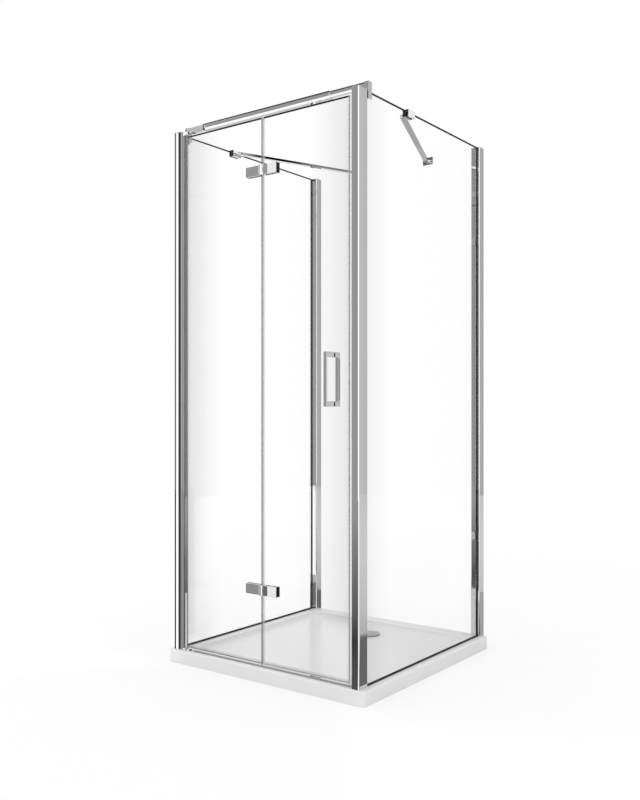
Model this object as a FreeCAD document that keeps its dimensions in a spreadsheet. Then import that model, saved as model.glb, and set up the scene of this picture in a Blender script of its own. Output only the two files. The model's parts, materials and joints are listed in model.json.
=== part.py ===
import FreeCAD
import Part
import os
import re
import Sketcher
from FreeCAD import Rotation, Vector

# Folding shower enclosure on a low square tray.
# X runs along the door, Y from the door to the wall, Z up.
# The origin is the centre of the tray's underside.

doc = FreeCAD.newDocument("FoldingShowerEnclosure")

# Driving dimensions, millimetres
SIZES = {
    # Fits shared by many pieces
    "screw_clearance": 0.05,
    "press_clearance": 0.02,
    "cut_overrun": 2,
    # Tray and drain
    "tray_width": 900,
    "tray_depth": 900,
    "tray_height": 50,
    "tray_corner_radius": 14,
    "tray_edge_round": 6,
    "rim_width": 64,
    "basin_depth": 20,
    "basin_corner_radius": 60,
    "basin_floor_round": 14,
    "basin_lip_round": 5,
    "floor_margin": 10,
    "floor_fall": 4,
    "floor_cut_lift": 0.1,
    "drain_from_rear": 190,
    "drain_flat": 150,
    "drain_bore_radius": 25,
    "drain_tail_wall": 5,
    "drain_flange_radius": 42,
    "drain_flange_thickness": 3,
    "drain_cover_radius": 45,
    "drain_cover_thickness": 3,
    "drain_cover_dome": 2,
    "drain_cover_lift": 3,
    "drain_seat_radius": 28,
    "drain_seat_depth": 8,
    "drain_tab_thickness": 2,
    "drain_foot_width": 4,
    "drain_foot_length": 9,
    "drain_foot_count": 4,
    "drain_clearance": 0.4,
    # Posts and fixed side panels
    "side_ledge": 25,
    "front_ledge": 7,
    "panel_height": 1975,
    "glass_thickness": 6,
    "glass_cover": 3.5,
    "gasket_thickness": 1.6,
    "glass_insert": 18,
    "channel_depth": 22,
    "post_width": 28,
    "post_depth": 50,
    "post_wall": 2,
    "post_corner_radius": 6,
    "cap_thickness": 2,
    "cap_plug_depth": 12,
    "cap_clearance": 0.3,
    "wall_profile_width": 40,
    "wall_profile_depth": 36,
    "wall_profile_ear": 9.5,
    "wall_profile_edge_round": 1.5,
    "wall_hole_radius": 2.5,
    "wall_tool_hole_radius": 4.5,
    "wall_hole_count": 4,
    "wall_hole_inset": 102.5,
    "base_seal_height": 3,
    # Stabiliser bar over the door
    "bar_from_post_front": 65,
    "bar_above_glass": 20,
    "rod_height": 20,
    "rod_depth": 20,
    "rod_wall": 1.5,
    "rod_engagement": 120,
    "sleeve_wall": 1.8,
    "sleeve_clearance": 0.2,
    "left_rod_show": 83,
    "right_rod_show": 142,
    "pad_thickness": 1,
    "clamp_outer_leg": 4.5,
    "clamp_inner_leg": 6.5,
    "clamp_outer_drop": 28,
    "clamp_inner_drop": 22,
    "clamp_edge_round": 1,
    "clamp_screw_radius": 3,
    "clamp_head_radius": 4.5,
    "clamp_head_height": 4,
    "clamp_screw_drop": 11,
    "grub_radius": 2,
    "grub_inset": 14,
    # Diagonal braces from the side panels to the wall
    "brace_from_post_front": 331,
    "brace_clamp_length": 46,
    "brace_clamp_rise": 5,
    "brace_clamp_outer_leg": 5.5,
    "brace_clamp_inner_leg": 10.5,
    "brace_clamp_drop": 20,
    "brace_screw_spacing": 26,
    "brace_bar_width": 19,
    "brace_bar_height": 10,
    "brace_below_glass_top": 9,
    "brace_lug_thickness": 6,
    "brace_lug_radius": 7,
    "brace_lug_reach": 14,
    "brace_end_length": 8,
    "brace_slot_clearance": 0.2,
    "brace_slot_end_gap": 1,
    "brace_flange_offset": 174,
    "brace_flange_width": 46,
    "brace_flange_height": 30,
    "brace_flange_thickness": 6,
    "brace_flange_hole_radius": 2.75,
    "brace_flange_hole_spacing": 32,
    "brace_flange_lug_reach": 15,
    "brace_pivot_radius": 3,
    "brace_pivot_head_radius": 5,
    "brace_pivot_head_height": 2.5,
    # Door: position, glass and fold
    "door_behind_post_front": 18,
    "door_glass_bottom": 12,
    "door_glass_below_post": 18,
    "fold_gap": 9,
    # Pivot side
    "jamb_width": 8,
    "jamb_depth": 32,
    "jamb_wall": 1.5,
    "jamb_setback": 6,
    "pivot_to_jamb": 9,
    "pivot_profile_radius": 8,
    "pivot_profile_nose": 11,
    "pivot_profile_end": 10,
    "pivot_glass_edge": 5,
    "pivot_pin_radius": 3,
    "pivot_pin_grip": 30,
    "pivot_running_gap": 0.05,
    "pivot_block_height": 7,
    "top_block_height": 12,
    "pivot_block_reach": 12,
    "pivot_block_depth": 22,
    "bush_radius": 5,
    "bush_flange_radius": 7.5,
    "bush_flange_height": 2.7,
    "bush_pin_gap": 2,
    # Glass-to-glass hinges
    "hinge_upper_drop": 207,
    "hinge_lower_height": 275,
    "hinge_plate_length": 61.5,
    "hinge_plate_height": 36,
    "hinge_plate_thickness": 7.5,
    "hinge_back_thickness": 5,
    "hinge_axis_offset": 9,
    "hinge_knuckle_radius": 7.5,
    "hinge_knuckle_height": 12,
    "hinge_knuckle_gap": 0.3,
    "hinge_plate_start": 9.5,
    "hinge_edge_round": 0.8,
    "hinge_pin_radius": 3,
    "hinge_pin_running_gap": 0.05,
    "hinge_screw_radius": 2.5,
    "hinge_screw_head_radius": 4.5,
    "hinge_screw_head_height": 2.5,
    "hinge_screw_bite": 5,
    "hinge_screw_inset": 14,
    "hinge_glass_hole_radius": 5,
    # Seals of the door
    "seal_lip": 1,
    "seal_lip_reach": 4,
    "fold_seal_gap": 0.3,
    "edge_seal_reach": 10,
    "edge_seal_lip_reach": 6,
    "edge_gap": 1,
    "strike_depth": 10,
    "drip_seal_drop": 4,
    "drip_seal_rise": 10,
    "threshold_gap": 1,
    "threshold_depth": 14,
    "threshold_slope": 2,
    "strip_end_gap": 0.5,
    # Handle
    "handle_from_edge": 68,
    "handle_centre_height": 1018,
    "handle_length": 183,
    "handle_width": 14,
    "handle_bar_thickness": 10,
    "handle_arm_height": 18,
    "outer_handle_reach": 41,
    "inner_handle_reach": 29,
    "handle_edge_round": 1,
    "handle_washer_thickness": 1,
    "handle_washer_radius": 6.5,
    "handle_bolt_radius": 3,
    "handle_bolt_bite": 12,
    "handle_glass_hole_radius": 5.5,
}

sheet = doc.addObject("Spreadsheet::Sheet", "Sizes")
for row, (alias, value) in enumerate(SIZES.items(), start=1):
    sheet.set(f"A{row}", alias)
    sheet.set(f"B{row}", str(value))
    sheet.setAlias(f"B{row}", alias)
doc.recompute()

WORD = re.compile(r"\b[a-z][a-z_]*\b")
NEAR = 1e-4
nodes = []


def formula(text):
    """Write a rule of plain size names as an expression on the sheet."""
    return WORD.sub(lambda found: f"Sizes.{found[0]}" if found[0] in SIZES else found[0], str(text))


def number(text):
    """The value of such a rule."""
    return float(sheet.evalExpression(formula(text)))


def bind(thing, prop, text):
    thing.setExpression(prop, formula(text))


def place(thing, x="0", y="0", z="0"):
    """Tie a piece's place to the sizes."""
    for axis, text in (("x", x), ("y", y), ("z", z)):
        bind(thing, f"Placement.Base.{axis}", text)
    return thing


def keep(name, thing):
    """Give a finished piece the name of its file."""
    thing.Label = name
    nodes.append(thing)
    return thing


# Helpers for bodies made from sketches


def new_body(name):
    body = doc.addObject("PartDesign::Body", name)
    body.Label = name
    return body


def new_sketch(body, role="XY_Plane", offset=None):
    sketch = body.newObject("Sketcher::SketchObject", f"{body.Name}_sketch")
    plane = [item for item in body.Origin.OriginFeatures if item.Role == role][0]
    sketch.AttachmentSupport = (plane, "")
    sketch.MapMode = "FlatFace"
    if offset:
        bind(sketch, "AttachmentOffset.Base.z", offset)
    return sketch


def hold(sketch, item, vertex, x, y):
    """Fix a sketch point at rules for its two coordinates."""
    for kind, axis, text in (("DistanceX", -2, x), ("DistanceY", -1, y)):
        if text == "0":
            sketch.addConstraint(Sketcher.Constraint("PointOnObject", item, vertex, axis))
        else:
            rule = Sketcher.Constraint(kind, -1, 1, item, vertex, number(text))
            index = sketch.addConstraint(rule)
            sketch.setExpression(f"Constraints[{index}]", formula(text))


def draw_polygon(sketch, corners):
    first = sketch.GeometryCount
    spots = [Vector(number(x), number(y), 0) for x, y in corners]
    count = len(spots)
    for index in range(count):
        sketch.addGeometry(Part.LineSegment(spots[index], spots[(index + 1) % count]))
    for index in range(count):
        following = first + (index + 1) % count
        sketch.addConstraint(Sketcher.Constraint("Coincident", first + index, 2, following, 1))
    for index, (x, y) in enumerate(corners):
        hold(sketch, first + index, 1, x, y)


def draw_rectangle(sketch, x0, x1, y0, y1):
    draw_polygon(sketch, [(x0, y0), (x1, y0), (x1, y1), (x0, y1)])


def draw_circle(sketch, x, y, radius):
    centre = Vector(number(x), number(y), 0)
    item = sketch.addGeometry(Part.Circle(centre, Vector(0, 0, 1), number(radius)))
    hold(sketch, item, 3, x, y)
    index = sketch.addConstraint(Sketcher.Constraint("Radius", item, number(radius)))
    sketch.setExpression(f"Constraints[{index}]", formula(radius))


def pad(body, sketch, length, both_ways=False):
    feature = body.newObject("PartDesign::Pad", f"{body.Name}_pad")
    feature.Profile = sketch
    bind(feature, "Length", length)
    feature.Midplane = both_ways
    doc.recompute()
    return feature


def pocket(body, sketch, length=None, upward=False):
    """Cut a sketch out of a body, to a depth or right through; the volume must fall."""
    before = body.Shape.Volume
    feature = body.newObject("PartDesign::Pocket", f"{body.Name}_pocket")
    feature.Profile = sketch
    if length:
        bind(feature, "Length", length)
    else:
        feature.Type = "ThroughAll"
    feature.Reversed = upward
    doc.recompute()
    if body.Shape.Volume >= before:
        raise ValueError(f"{feature.Name} cuts nothing")
    return feature


def round_edges(body, radius, chosen):
    """Round the edges of a body's last feature that a test picks."""
    doc.recompute()
    base = body.Tip
    names = [f"Edge{index}" for index, edge in enumerate(base.Shape.Edges, start=1) if chosen(edge)]
    feature = body.newObject("PartDesign::Fillet", f"{body.Name}_fillet")
    feature.Base = (base, names)
    bind(feature, "Radius", radius)
    doc.recompute()
    return feature


def same(first, second):
    return abs(first - second) < NEAR


def is_upright(edge):
    box = edge.BoundBox
    return box.ZLength > NEAR and same(box.XLength, 0) and same(box.YLength, 0)


def is_at(axis, value):
    """A test for edges that lie in one plane across an axis."""
    def chosen(edge):
        box = edge.BoundBox
        ends = (getattr(box, f"{axis}Min"), getattr(box, f"{axis}Max"))
        return same(ends[0], value) and same(ends[1], value)
    return chosen


# Helpers for pieces made from plain solids


def box(name, x, y, z):
    """A block between pairs of rules along each axis."""
    block = doc.addObject("Part::Box", name)
    for prop, (low, high) in (("Length", x), ("Width", y), ("Height", z)):
        bind(block, prop, f"({high}) - ({low})")
    return place(block, x[0], y[0], z[0])


def around(middle, width):
    """A pair of rules that lie half a width to either side of a middle."""
    return (f"({middle}) - ({width}) / 2", f"({middle}) + ({width}) / 2")


TURNS = {
    "X": Rotation(Vector(0, 1, 0), 90),
    "Y": Rotation(Vector(1, 0, 0), -90),
    "Z": Rotation(),
}


def cylinder(name, axis, radius, length, start):
    """A cylinder that runs from a start point along +X, +Y or +Z."""
    rod = doc.addObject("Part::Cylinder", name)
    bind(rod, "Radius", radius)
    bind(rod, "Height", length)
    rod.Placement = FreeCAD.Placement(Vector(), TURNS[axis])
    return place(rod, *start)


def drill(axis, radius, length, start):
    """A cutter for a hole through a wall, overrunning it at both ends."""
    early = [f"{spot} - cut_overrun" if letter == axis else spot for letter, spot in zip("XYZ", start)]
    return cylinder("drill", axis, radius, f"({length}) + 2 * cut_overrun", early)


def join(name, pieces):
    whole = doc.addObject("Part::MultiFuse", name)
    whole.Shapes = pieces
    whole.Refine = True
    return whole


def cut(name, base, tools):
    """Take one tool or a few away from a base."""
    tool = tools[0] if len(tools) == 1 else group(f"{name}_tools", tools)
    rest = doc.addObject("Part::Cut", name)
    rest.Base = base
    rest.Tool = tool
    return rest


def group(name, pieces):
    """Several separate solids under one name."""
    whole = doc.addObject("Part::Compound", name)
    whole.Links = pieces
    return whole


def mirror(name, source):
    """The other hand of a piece, across the plane X = 0."""
    other = doc.addObject("Part::Mirroring", name)
    other.Source = source
    other.Normal = Vector(1, 0, 0)
    return other


def both_hands(name, source):
    """Keep a right-hand piece and its left-hand mirror image."""
    keep(f"right_{name}", source)
    keep(f"left_{name}", mirror(f"left_{name}", source))


def both_sides(pieces):
    return pieces + [mirror(f"{piece.Name}_left", piece) for piece in pieces]


# Shared places, as rules on the sizes
RIM = "tray_height"
WALL = "(tray_depth / 2)"
POST_OUT = "(tray_width / 2 - side_ledge)"
POST_IN = f"({POST_OUT} - post_width)"
POST_FRONT = "(front_ledge - tray_depth / 2)"
POST_REAR = f"({POST_FRONT} + post_depth)"
PANEL_TOP = f"({RIM} + panel_height)"
GLASS_OUT = f"({POST_OUT} - glass_cover)"
GLASS_IN = f"({GLASS_OUT} - glass_thickness)"
SLOT_OUT = f"({GLASS_OUT} + gasket_thickness)"
SLOT_IN = f"({GLASS_IN} - gasket_thickness)"
PROFILE_OUT = f"({GLASS_OUT} + wall_profile_ear)"
PROFILE_IN = f"({PROFILE_OUT} - wall_profile_width)"
PROFILE_FRONT = f"({WALL} - wall_profile_depth)"
DOOR_Y = f"({POST_FRONT} + door_behind_post_front)"
DOOR_FACE = f"({DOOR_Y} - glass_thickness / 2)"
DOOR_BACK = f"({DOOR_Y} + glass_thickness / 2)"
DOOR_BOTTOM = f"({RIM} + door_glass_bottom)"
DOOR_TOP = f"({PANEL_TOP} - door_glass_below_post)"
JAMB_FACE = f"(-{POST_IN} + jamb_width)"
PIVOT_X = f"({JAMB_FACE} + pivot_to_jamb)"
PIVOT_NOSE = f"({PIVOT_X} + pivot_profile_nose)"
EDGE_END = f"({POST_IN} - strike_depth - edge_gap)"
LEAF_END = f"({EDGE_END} - edge_seal_reach)"


# Tray: a low slab with a basin whose floor falls to the drain
def make_tray():
    body = new_body("shower_tray")
    outline = new_sketch(body)
    half_x = "tray_width / 2"
    half_y = "tray_depth / 2"
    draw_rectangle(outline, f"-{half_x}", half_x, f"-{half_y}", half_y)
    pad(body, outline, RIM)
    round_edges(body, "tray_corner_radius", is_upright)
    round_edges(body, "tray_edge_round", is_at("Z", number(RIM)))

    opening_x = "(tray_width / 2 - rim_width)"
    opening_y = "(tray_depth / 2 - rim_width)"
    opening = new_sketch(body, offset=RIM)
    draw_rectangle(opening, f"-{opening_x}", opening_x, f"-{opening_y}", opening_y)
    pocket(body, opening, "basin_depth")
    wall_x = number(opening_x)
    floor_level = number(f"{RIM} - basin_depth")

    def basin_corner(edge):
        return is_upright(edge) and same(abs(edge.BoundBox.XMin), wall_x)

    def basin_lip(edge):
        inside = max(abs(edge.BoundBox.XMin), abs(edge.BoundBox.XMax)) < wall_x + NEAR
        return inside and is_at("Z", number(RIM))(edge)

    round_edges(body, "basin_corner_radius", basin_corner)
    round_edges(body, "basin_floor_round", is_at("Z", floor_level))
    round_edges(body, "basin_lip_round", basin_lip)

    drain_y = f"({WALL} - drain_from_rear)"
    flat_floor = body.Shape.Volume
    fall = body.newObject("PartDesign::SubtractiveWedge", "floor_fall")
    plane = [item for item in body.Origin.OriginFeatures if item.Role == "XZ_Plane"][0]
    fall.AttachmentSupport = (plane, "")
    fall.MapMode = "FlatFace"
    inset = "(basin_floor_round + floor_margin)"
    half_flat = "drain_flat / 2"
    for prop, rule in (
            ("Ymin", f"{RIM} - basin_depth - floor_fall"), ("Ymax", f"{RIM} - basin_depth + floor_cut_lift"),
            ("Xmin", f"-{half_flat}"), ("Xmax", half_flat),
            ("Zmin", f"-{drain_y} - {half_flat}"), ("Zmax", f"-{drain_y} + {half_flat}"),
            ("X2min", f"{inset} - {opening_x}"), ("X2max", f"{opening_x} - {inset}"),
            ("Z2min", f"{inset} - {opening_y}"), ("Z2max", f"{opening_y} - {inset}")):
        bind(fall, prop, rule)
    doc.recompute()
    if body.Shape.Volume >= flat_floor:
        raise ValueError("the tray's floor has no fall")

    seat = new_sketch(body, offset=f"{RIM} - basin_depth - floor_fall")
    draw_circle(seat, "0", drain_y, "drain_flange_radius + drain_clearance")
    pocket(body, seat, "drain_flange_thickness")
    bore = new_sketch(body)
    draw_circle(bore, "0", drain_y, "drain_bore_radius + drain_tail_wall + drain_clearance")
    pocket(body, bore, upward=True)
    keep("shower_tray", body)


# Drain: a flanged tail seated in the floor, and a domed cover on feet
def make_drain():
    drain_y = f"({WALL} - drain_from_rear)"
    floor_z = f"({RIM} - basin_depth - floor_fall)"
    flange = new_body("drain_flange")
    section = new_sketch(flange, "XZ_Plane")
    tail_out = "drain_bore_radius + drain_tail_wall"
    under = f"{floor_z} - drain_flange_thickness"
    seat_low = f"({floor_z} - drain_seat_depth)"
    draw_polygon(section, [
        ("drain_bore_radius", "drain_clearance"), (tail_out, "drain_clearance"), (tail_out, under),
        ("drain_flange_radius", under), ("drain_flange_radius", floor_z), ("drain_seat_radius", floor_z),
        ("drain_seat_radius", seat_low), ("drain_bore_radius", seat_low)])
    turn = flange.newObject("PartDesign::Revolution", "drain_flange_turn")
    turn.Profile = section
    turn.ReferenceAxis = (section, ["V_Axis"])
    place(flange, y=drain_y)
    keep("drain_flange", flange)

    cover = new_body("drain_cover")
    disc = new_sketch(cover, "XZ_Plane")
    cover_under = f"({floor_z} + drain_cover_lift)"
    cover_edge = f"({cover_under} + drain_cover_thickness)"
    draw_polygon(disc, [
        ("0", cover_under), ("drain_cover_radius", cover_under),
        ("drain_cover_radius", f"{cover_edge} - drain_cover_dome"),
        ("drain_cover_radius - drain_cover_dome", cover_edge), ("0", f"{cover_edge} + drain_cover_dome")])
    spin = cover.newObject("PartDesign::Revolution", "drain_cover_turn")
    spin.Profile = disc
    spin.ReferenceAxis = (disc, ["V_Axis"])
    doc.recompute()
    tab_out = "(drain_seat_radius - drain_clearance)"
    legs = (
        (floor_z, tab_out, f"{tab_out} + drain_foot_length"),
        (f"({seat_low} + drain_clearance)", f"{tab_out} - drain_tab_thickness", tab_out))
    leg_pads = []
    for low, near, far in legs:
        leg = new_sketch(cover, offset=low)
        draw_rectangle(leg, near, far, "-drain_foot_width / 2", "drain_foot_width / 2")
        leg_pads.append(pad(cover, leg, f"{cover_under} + drain_cover_thickness / 2 - {low}"))
    ring = cover.newObject("PartDesign::PolarPattern", "drain_feet")
    ring.Originals = leg_pads
    ring.Axis = (leg, ["N_Axis"])
    ring.Angle = 360
    bind(ring, "Occurrences", "drain_foot_count")
    cover.Tip = ring
    doc.recompute()
    place(cover, y=drain_y)
    keep("drain_cover", cover)


# Corner posts: hollow extrusions with a channel for the side glass
def make_posts():
    body = new_body("right_corner_post")
    outline = new_sketch(body)
    draw_polygon(outline, [
        (POST_IN, POST_FRONT), (POST_OUT, POST_FRONT), (POST_OUT, POST_REAR), (SLOT_OUT, POST_REAR),
        (SLOT_OUT, f"{POST_REAR} - channel_depth"), (SLOT_IN, f"{POST_REAR} - channel_depth"),
        (SLOT_IN, POST_REAR), (POST_IN, POST_REAR)])
    pad(body, outline, "panel_height")
    corner_x = number(POST_OUT)
    corner_y = number(POST_FRONT)

    def outer_corner(edge):
        spot = edge.BoundBox
        return is_upright(edge) and same(spot.XMin, corner_x) and same(spot.YMin, corner_y)

    round_edges(body, "post_corner_radius", outer_corner)
    chambers = new_sketch(body)
    draw_rectangle(chambers, f"{POST_IN} + post_wall", f"{SLOT_IN} - post_wall",
                   f"{POST_FRONT} + post_wall", f"{POST_REAR} - post_wall")
    draw_rectangle(chambers, SLOT_IN, f"{POST_OUT} - post_corner_radius",
                   f"{POST_FRONT} + post_wall", f"{POST_REAR} - channel_depth - post_wall")
    pocket(body, chambers, upward=True)
    place(body, z=RIM)
    both_hands("corner_post", body)

    plate = box("cap_plate", (POST_IN, POST_OUT), (POST_FRONT, POST_REAR),
                (PANEL_TOP, f"{PANEL_TOP} + cap_thickness"))
    upright = doc.addObject("Part::Fillet", "cap_rounded")
    upright.Base = plate
    doc.recompute()
    upright.Edges = [
        (index, number("post_corner_radius"), number("post_corner_radius"))
        for index, edge in enumerate(plate.Shape.Edges, start=1) if outer_corner(edge)]
    plug = box("cap_plug",
               (f"{POST_IN} + post_wall + cap_clearance", f"{SLOT_IN} - post_wall - cap_clearance"),
               (f"{POST_FRONT} + post_wall + cap_clearance", f"{POST_REAR} - post_wall - cap_clearance"),
               (f"{PANEL_TOP} - cap_plug_depth", PANEL_TOP))
    cap = join("post_cap", [upright, plug])
    keep("post_caps", group("post_caps", both_sides([cap])))


# Wall profiles: hollow channels screwed to the wall, holding the rear edge of the side glass
def make_wall_profiles():
    body = new_body("wall_profile_blank")
    outline = new_sketch(body)
    slot_end = f"({PROFILE_FRONT} + channel_depth)"
    draw_polygon(outline, [
        (PROFILE_IN, PROFILE_FRONT), (SLOT_IN, PROFILE_FRONT), (SLOT_IN, slot_end), (SLOT_OUT, slot_end),
        (SLOT_OUT, PROFILE_FRONT), (PROFILE_OUT, PROFILE_FRONT), (PROFILE_OUT, WALL), (PROFILE_IN, WALL)])
    pad(body, outline, "panel_height")
    front = number(PROFILE_FRONT)
    sides = (number(PROFILE_IN), number(PROFILE_OUT))

    def front_corner(edge):
        spot = edge.BoundBox
        return is_upright(edge) and same(spot.YMin, front) and any(same(spot.XMin, side) for side in sides)

    round_edges(body, "wall_profile_edge_round", front_corner)
    chambers = new_sketch(body)
    draw_rectangle(chambers, f"{PROFILE_IN} + post_wall", f"{SLOT_IN} - post_wall",
                   f"{PROFILE_FRONT} + post_wall", f"{WALL} - post_wall")
    draw_rectangle(chambers, SLOT_IN, SLOT_OUT, f"{slot_end} + post_wall", f"{WALL} - post_wall")
    draw_rectangle(chambers, f"{SLOT_OUT} + post_wall", f"{PROFILE_OUT} - post_wall",
                   f"{PROFILE_FRONT} + post_wall", f"{WALL} - post_wall")
    pocket(body, chambers, upward=True)
    place(body, z=RIM)
    centre = f"({GLASS_OUT} - glass_thickness / 2)"
    spacing = "(panel_height - 2 * wall_hole_inset) / (wall_hole_count - 1)"
    holes = []
    for index in range(int(number("wall_hole_count"))):
        height = f"{RIM} + wall_hole_inset + {index} * {spacing}"
        holes.append(drill("Y", "wall_hole_radius", "post_wall", (centre, f"{WALL} - post_wall", height)))
        holes.append(drill("Y", "wall_tool_hole_radius", "post_wall", (centre, slot_end, height)))
    both_hands("wall_profile", cut("right_wall_profile", body, holes))


# Fixed side glass with its gaskets and the seal under it
def make_side_panels():
    front = f"({POST_REAR} - glass_insert)"
    rear = f"({PROFILE_FRONT} + glass_insert)"
    glass = new_body("right_side_glass")
    pane = new_sketch(glass, "YZ_Plane")
    draw_rectangle(pane, front, rear, f"{RIM} + base_seal_height", PANEL_TOP)
    pad(glass, pane, "glass_thickness")
    place(glass, x=GLASS_IN)
    both_hands("side_glass", glass)

    for name, mouth, inward in (("post_gasket", POST_REAR, "-"), ("wall_gasket", PROFILE_FRONT, "+")):
        gasket = new_body(f"right_{name}")
        section = new_sketch(gasket)
        tip = f"({mouth} {inward} glass_insert)"
        back = f"({tip} {inward} gasket_thickness)"
        draw_polygon(section, [
            (SLOT_IN, mouth), (GLASS_IN, mouth), (GLASS_IN, tip), (GLASS_OUT, tip), (GLASS_OUT, mouth),
            (SLOT_OUT, mouth), (SLOT_OUT, back), (SLOT_IN, back)])
        pad(gasket, section, "panel_height - base_seal_height")
        place(gasket, z=f"{RIM} + base_seal_height")
        both_hands(name, gasket)

    seal = box("right_base_seal", (GLASS_IN, GLASS_OUT), (POST_REAR, PROFILE_FRONT),
               (RIM, f"{RIM} + base_seal_height"))
    both_hands("base_seal", seal)


# Stabiliser: a telescopic bar over the door, clamped on both side panels
BAR_Y = f"({POST_FRONT} + bar_from_post_front)"
BAR_Z = f"({PANEL_TOP} + bar_above_glass)"
CLAMP_IN = f"({GLASS_IN} - pad_thickness - clamp_inner_leg)"
SLEEVE_LEFT = f"(left_rod_show - {CLAMP_IN})"
SLEEVE_RIGHT = f"({CLAMP_IN} - right_rod_show)"


def tube(name, start, end, height, depth, wall):
    """A rectangular tube along X, centred on the bar's axis."""
    body = new_body(name)
    ends = new_sketch(body, "YZ_Plane")
    draw_rectangle(ends, f"-({depth}) / 2", f"({depth}) / 2", f"-({height}) / 2", f"({height}) / 2")
    draw_rectangle(ends, f"-({depth}) / 2 + {wall}", f"({depth}) / 2 - {wall}",
                   f"-({height}) / 2 + {wall}", f"({height}) / 2 - {wall}")
    pad(body, ends, f"({end}) - ({start})")
    outer_y = number(f"({depth}) / 2")
    outer_z = number(f"({height}) / 2")

    def long_corner(edge):
        spot = edge.BoundBox
        along = spot.XLength > NEAR and same(spot.YLength, 0) and same(spot.ZLength, 0)
        return along and same(abs(spot.YMin), outer_y) and same(abs(spot.ZMin), outer_z)

    round_edges(body, f"{wall} / 2", long_corner)
    return place(body, start, BAR_Y, BAR_Z)


def make_stabiliser():
    sleeve_height = "rod_height + 2 * sleeve_clearance + 2 * sleeve_wall"
    sleeve_depth = "rod_depth + 2 * sleeve_clearance + 2 * sleeve_wall"
    sleeve = tube("sleeve_tube", SLEEVE_LEFT, SLEEVE_RIGHT, sleeve_height, sleeve_depth, "sleeve_wall")
    rod_under = f"{BAR_Z} - rod_height / 2"
    sleeve_under = f"{BAR_Z} - ({sleeve_height}) / 2"
    spots = (f"{SLEEVE_LEFT} + grub_inset", f"{SLEEVE_RIGHT} - grub_inset")
    grub_length = f"({rod_under}) - ({sleeve_under})"
    grubs = [cylinder("grub", "Z", "grub_radius", grub_length, (spot, BAR_Y, sleeve_under)) for spot in spots]
    drills = [drill("Z", "grub_radius + screw_clearance", "sleeve_wall", (spot, BAR_Y, sleeve_under))
              for spot in spots]
    keep("stabiliser_sleeve", cut("stabiliser_sleeve", sleeve, drills))
    keep("stabiliser_grub_screws", group("stabiliser_grub_screws", grubs))
    rods = (
        ("right_stabiliser_rod", f"{SLEEVE_RIGHT} - rod_engagement", CLAMP_IN),
        ("left_stabiliser_rod", f"-{CLAMP_IN}", f"{SLEEVE_LEFT} + rod_engagement"))
    for name, start, end in rods:
        keep(name, tube(name, start, end, "rod_height", "rod_depth", "rod_wall"))

    leg_out = f"({GLASS_OUT} + pad_thickness)"
    leg_in = f"({GLASS_IN} - pad_thickness)"
    bridge = f"({PANEL_TOP} + pad_thickness)"
    top = f"({BAR_Z} + rod_height / 2 + pad_thickness)"
    outer_foot = f"({PANEL_TOP} - clamp_outer_drop)"
    inner_foot = f"({PANEL_TOP} - clamp_inner_drop)"
    clamp = new_body("stabiliser_clamp_blank")
    side = new_sketch(clamp, "XZ_Plane")
    draw_polygon(side, [
        (CLAMP_IN, top), (f"{leg_out} + clamp_outer_leg", top), (f"{leg_out} + clamp_outer_leg", outer_foot),
        (leg_out, outer_foot), (leg_out, bridge), (leg_in, bridge), (leg_in, inner_foot),
        (CLAMP_IN, inner_foot)])
    pad(clamp, side, "rod_depth", both_ways=True)
    edge_x = number(f"{leg_out} + clamp_outer_leg")
    round_edges(clamp, "clamp_edge_round", is_at("X", edge_x))
    place(clamp, y=BAR_Y)
    screw_z = f"({PANEL_TOP} - clamp_screw_drop)"
    hole = drill("X", "clamp_screw_radius + screw_clearance", "clamp_inner_leg", (CLAMP_IN, BAR_Y, screw_z))
    both_hands("stabiliser_clamp", cut("right_stabiliser_clamp", clamp, [hole]))
    pads = clamp_pads(around(BAR_Y, "rod_depth"), inner_foot)
    screws = [clamp_screw(CLAMP_IN, "clamp_inner_leg", BAR_Y, screw_z)]
    return pads, screws


def clamp_pads(span, foot):
    """Soft pads between the glass and the two legs of a clamp."""
    height = (foot, PANEL_TOP)
    inner = box("pad_inner", (f"{GLASS_IN} - pad_thickness", GLASS_IN), span, height)
    outer = box("pad_outer", (GLASS_OUT, f"{GLASS_OUT} + pad_thickness"), span, height)
    return [inner, outer]


def clamp_screw(face, leg, y, z):
    """A headed screw through a clamp's inner leg, up to the pad."""
    head = cylinder("clamp_head", "X", "clamp_head_radius", "clamp_head_height",
                    (f"{face} - clamp_head_height", y, z))
    shank = cylinder("clamp_shank", "X", "clamp_screw_radius", leg, (face, y, z))
    return join("clamp_screw", [head, shank])


# Braces: flat bars from the side panels' tops to the wall, pinned at both ends
BRACE_Y = f"({POST_FRONT} + brace_from_post_front)"
BRACE_Z = f"({PANEL_TOP} - brace_below_glass_top)"
BRACE_IN = f"({GLASS_IN} - pad_thickness - brace_clamp_inner_leg)"
BRACE_PIN_X = f"({BRACE_IN} - brace_lug_reach)"
FLANGE_PIN_Y = f"({WALL} - brace_flange_thickness - brace_flange_lug_reach)"
BRACE_RUN_X = f"({BRACE_PIN_X} - brace_flange_offset)"
BRACE_RUN_Y = f"({FLANGE_PIN_Y} - {BRACE_Y})"


def pin_hole(x, y):
    """A cutter for a brace pin, through a tongue."""
    return drill("Z", "brace_pivot_radius + screw_clearance", "brace_lug_thickness",
                 (x, y, f"{BRACE_Z} - brace_lug_thickness / 2"))


def lug(x, y, neck_x, neck_y):
    """A rounded tongue about a brace pin, with a neck back to its carrier."""
    low = f"{BRACE_Z} - brace_lug_thickness / 2"
    eye = cylinder("lug_eye", "Z", "brace_lug_radius", "brace_lug_thickness", (x, y, low))
    neck = box("lug_neck", neck_x, neck_y, (low, f"{low} + brace_lug_thickness"))
    return [eye, neck]


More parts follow.
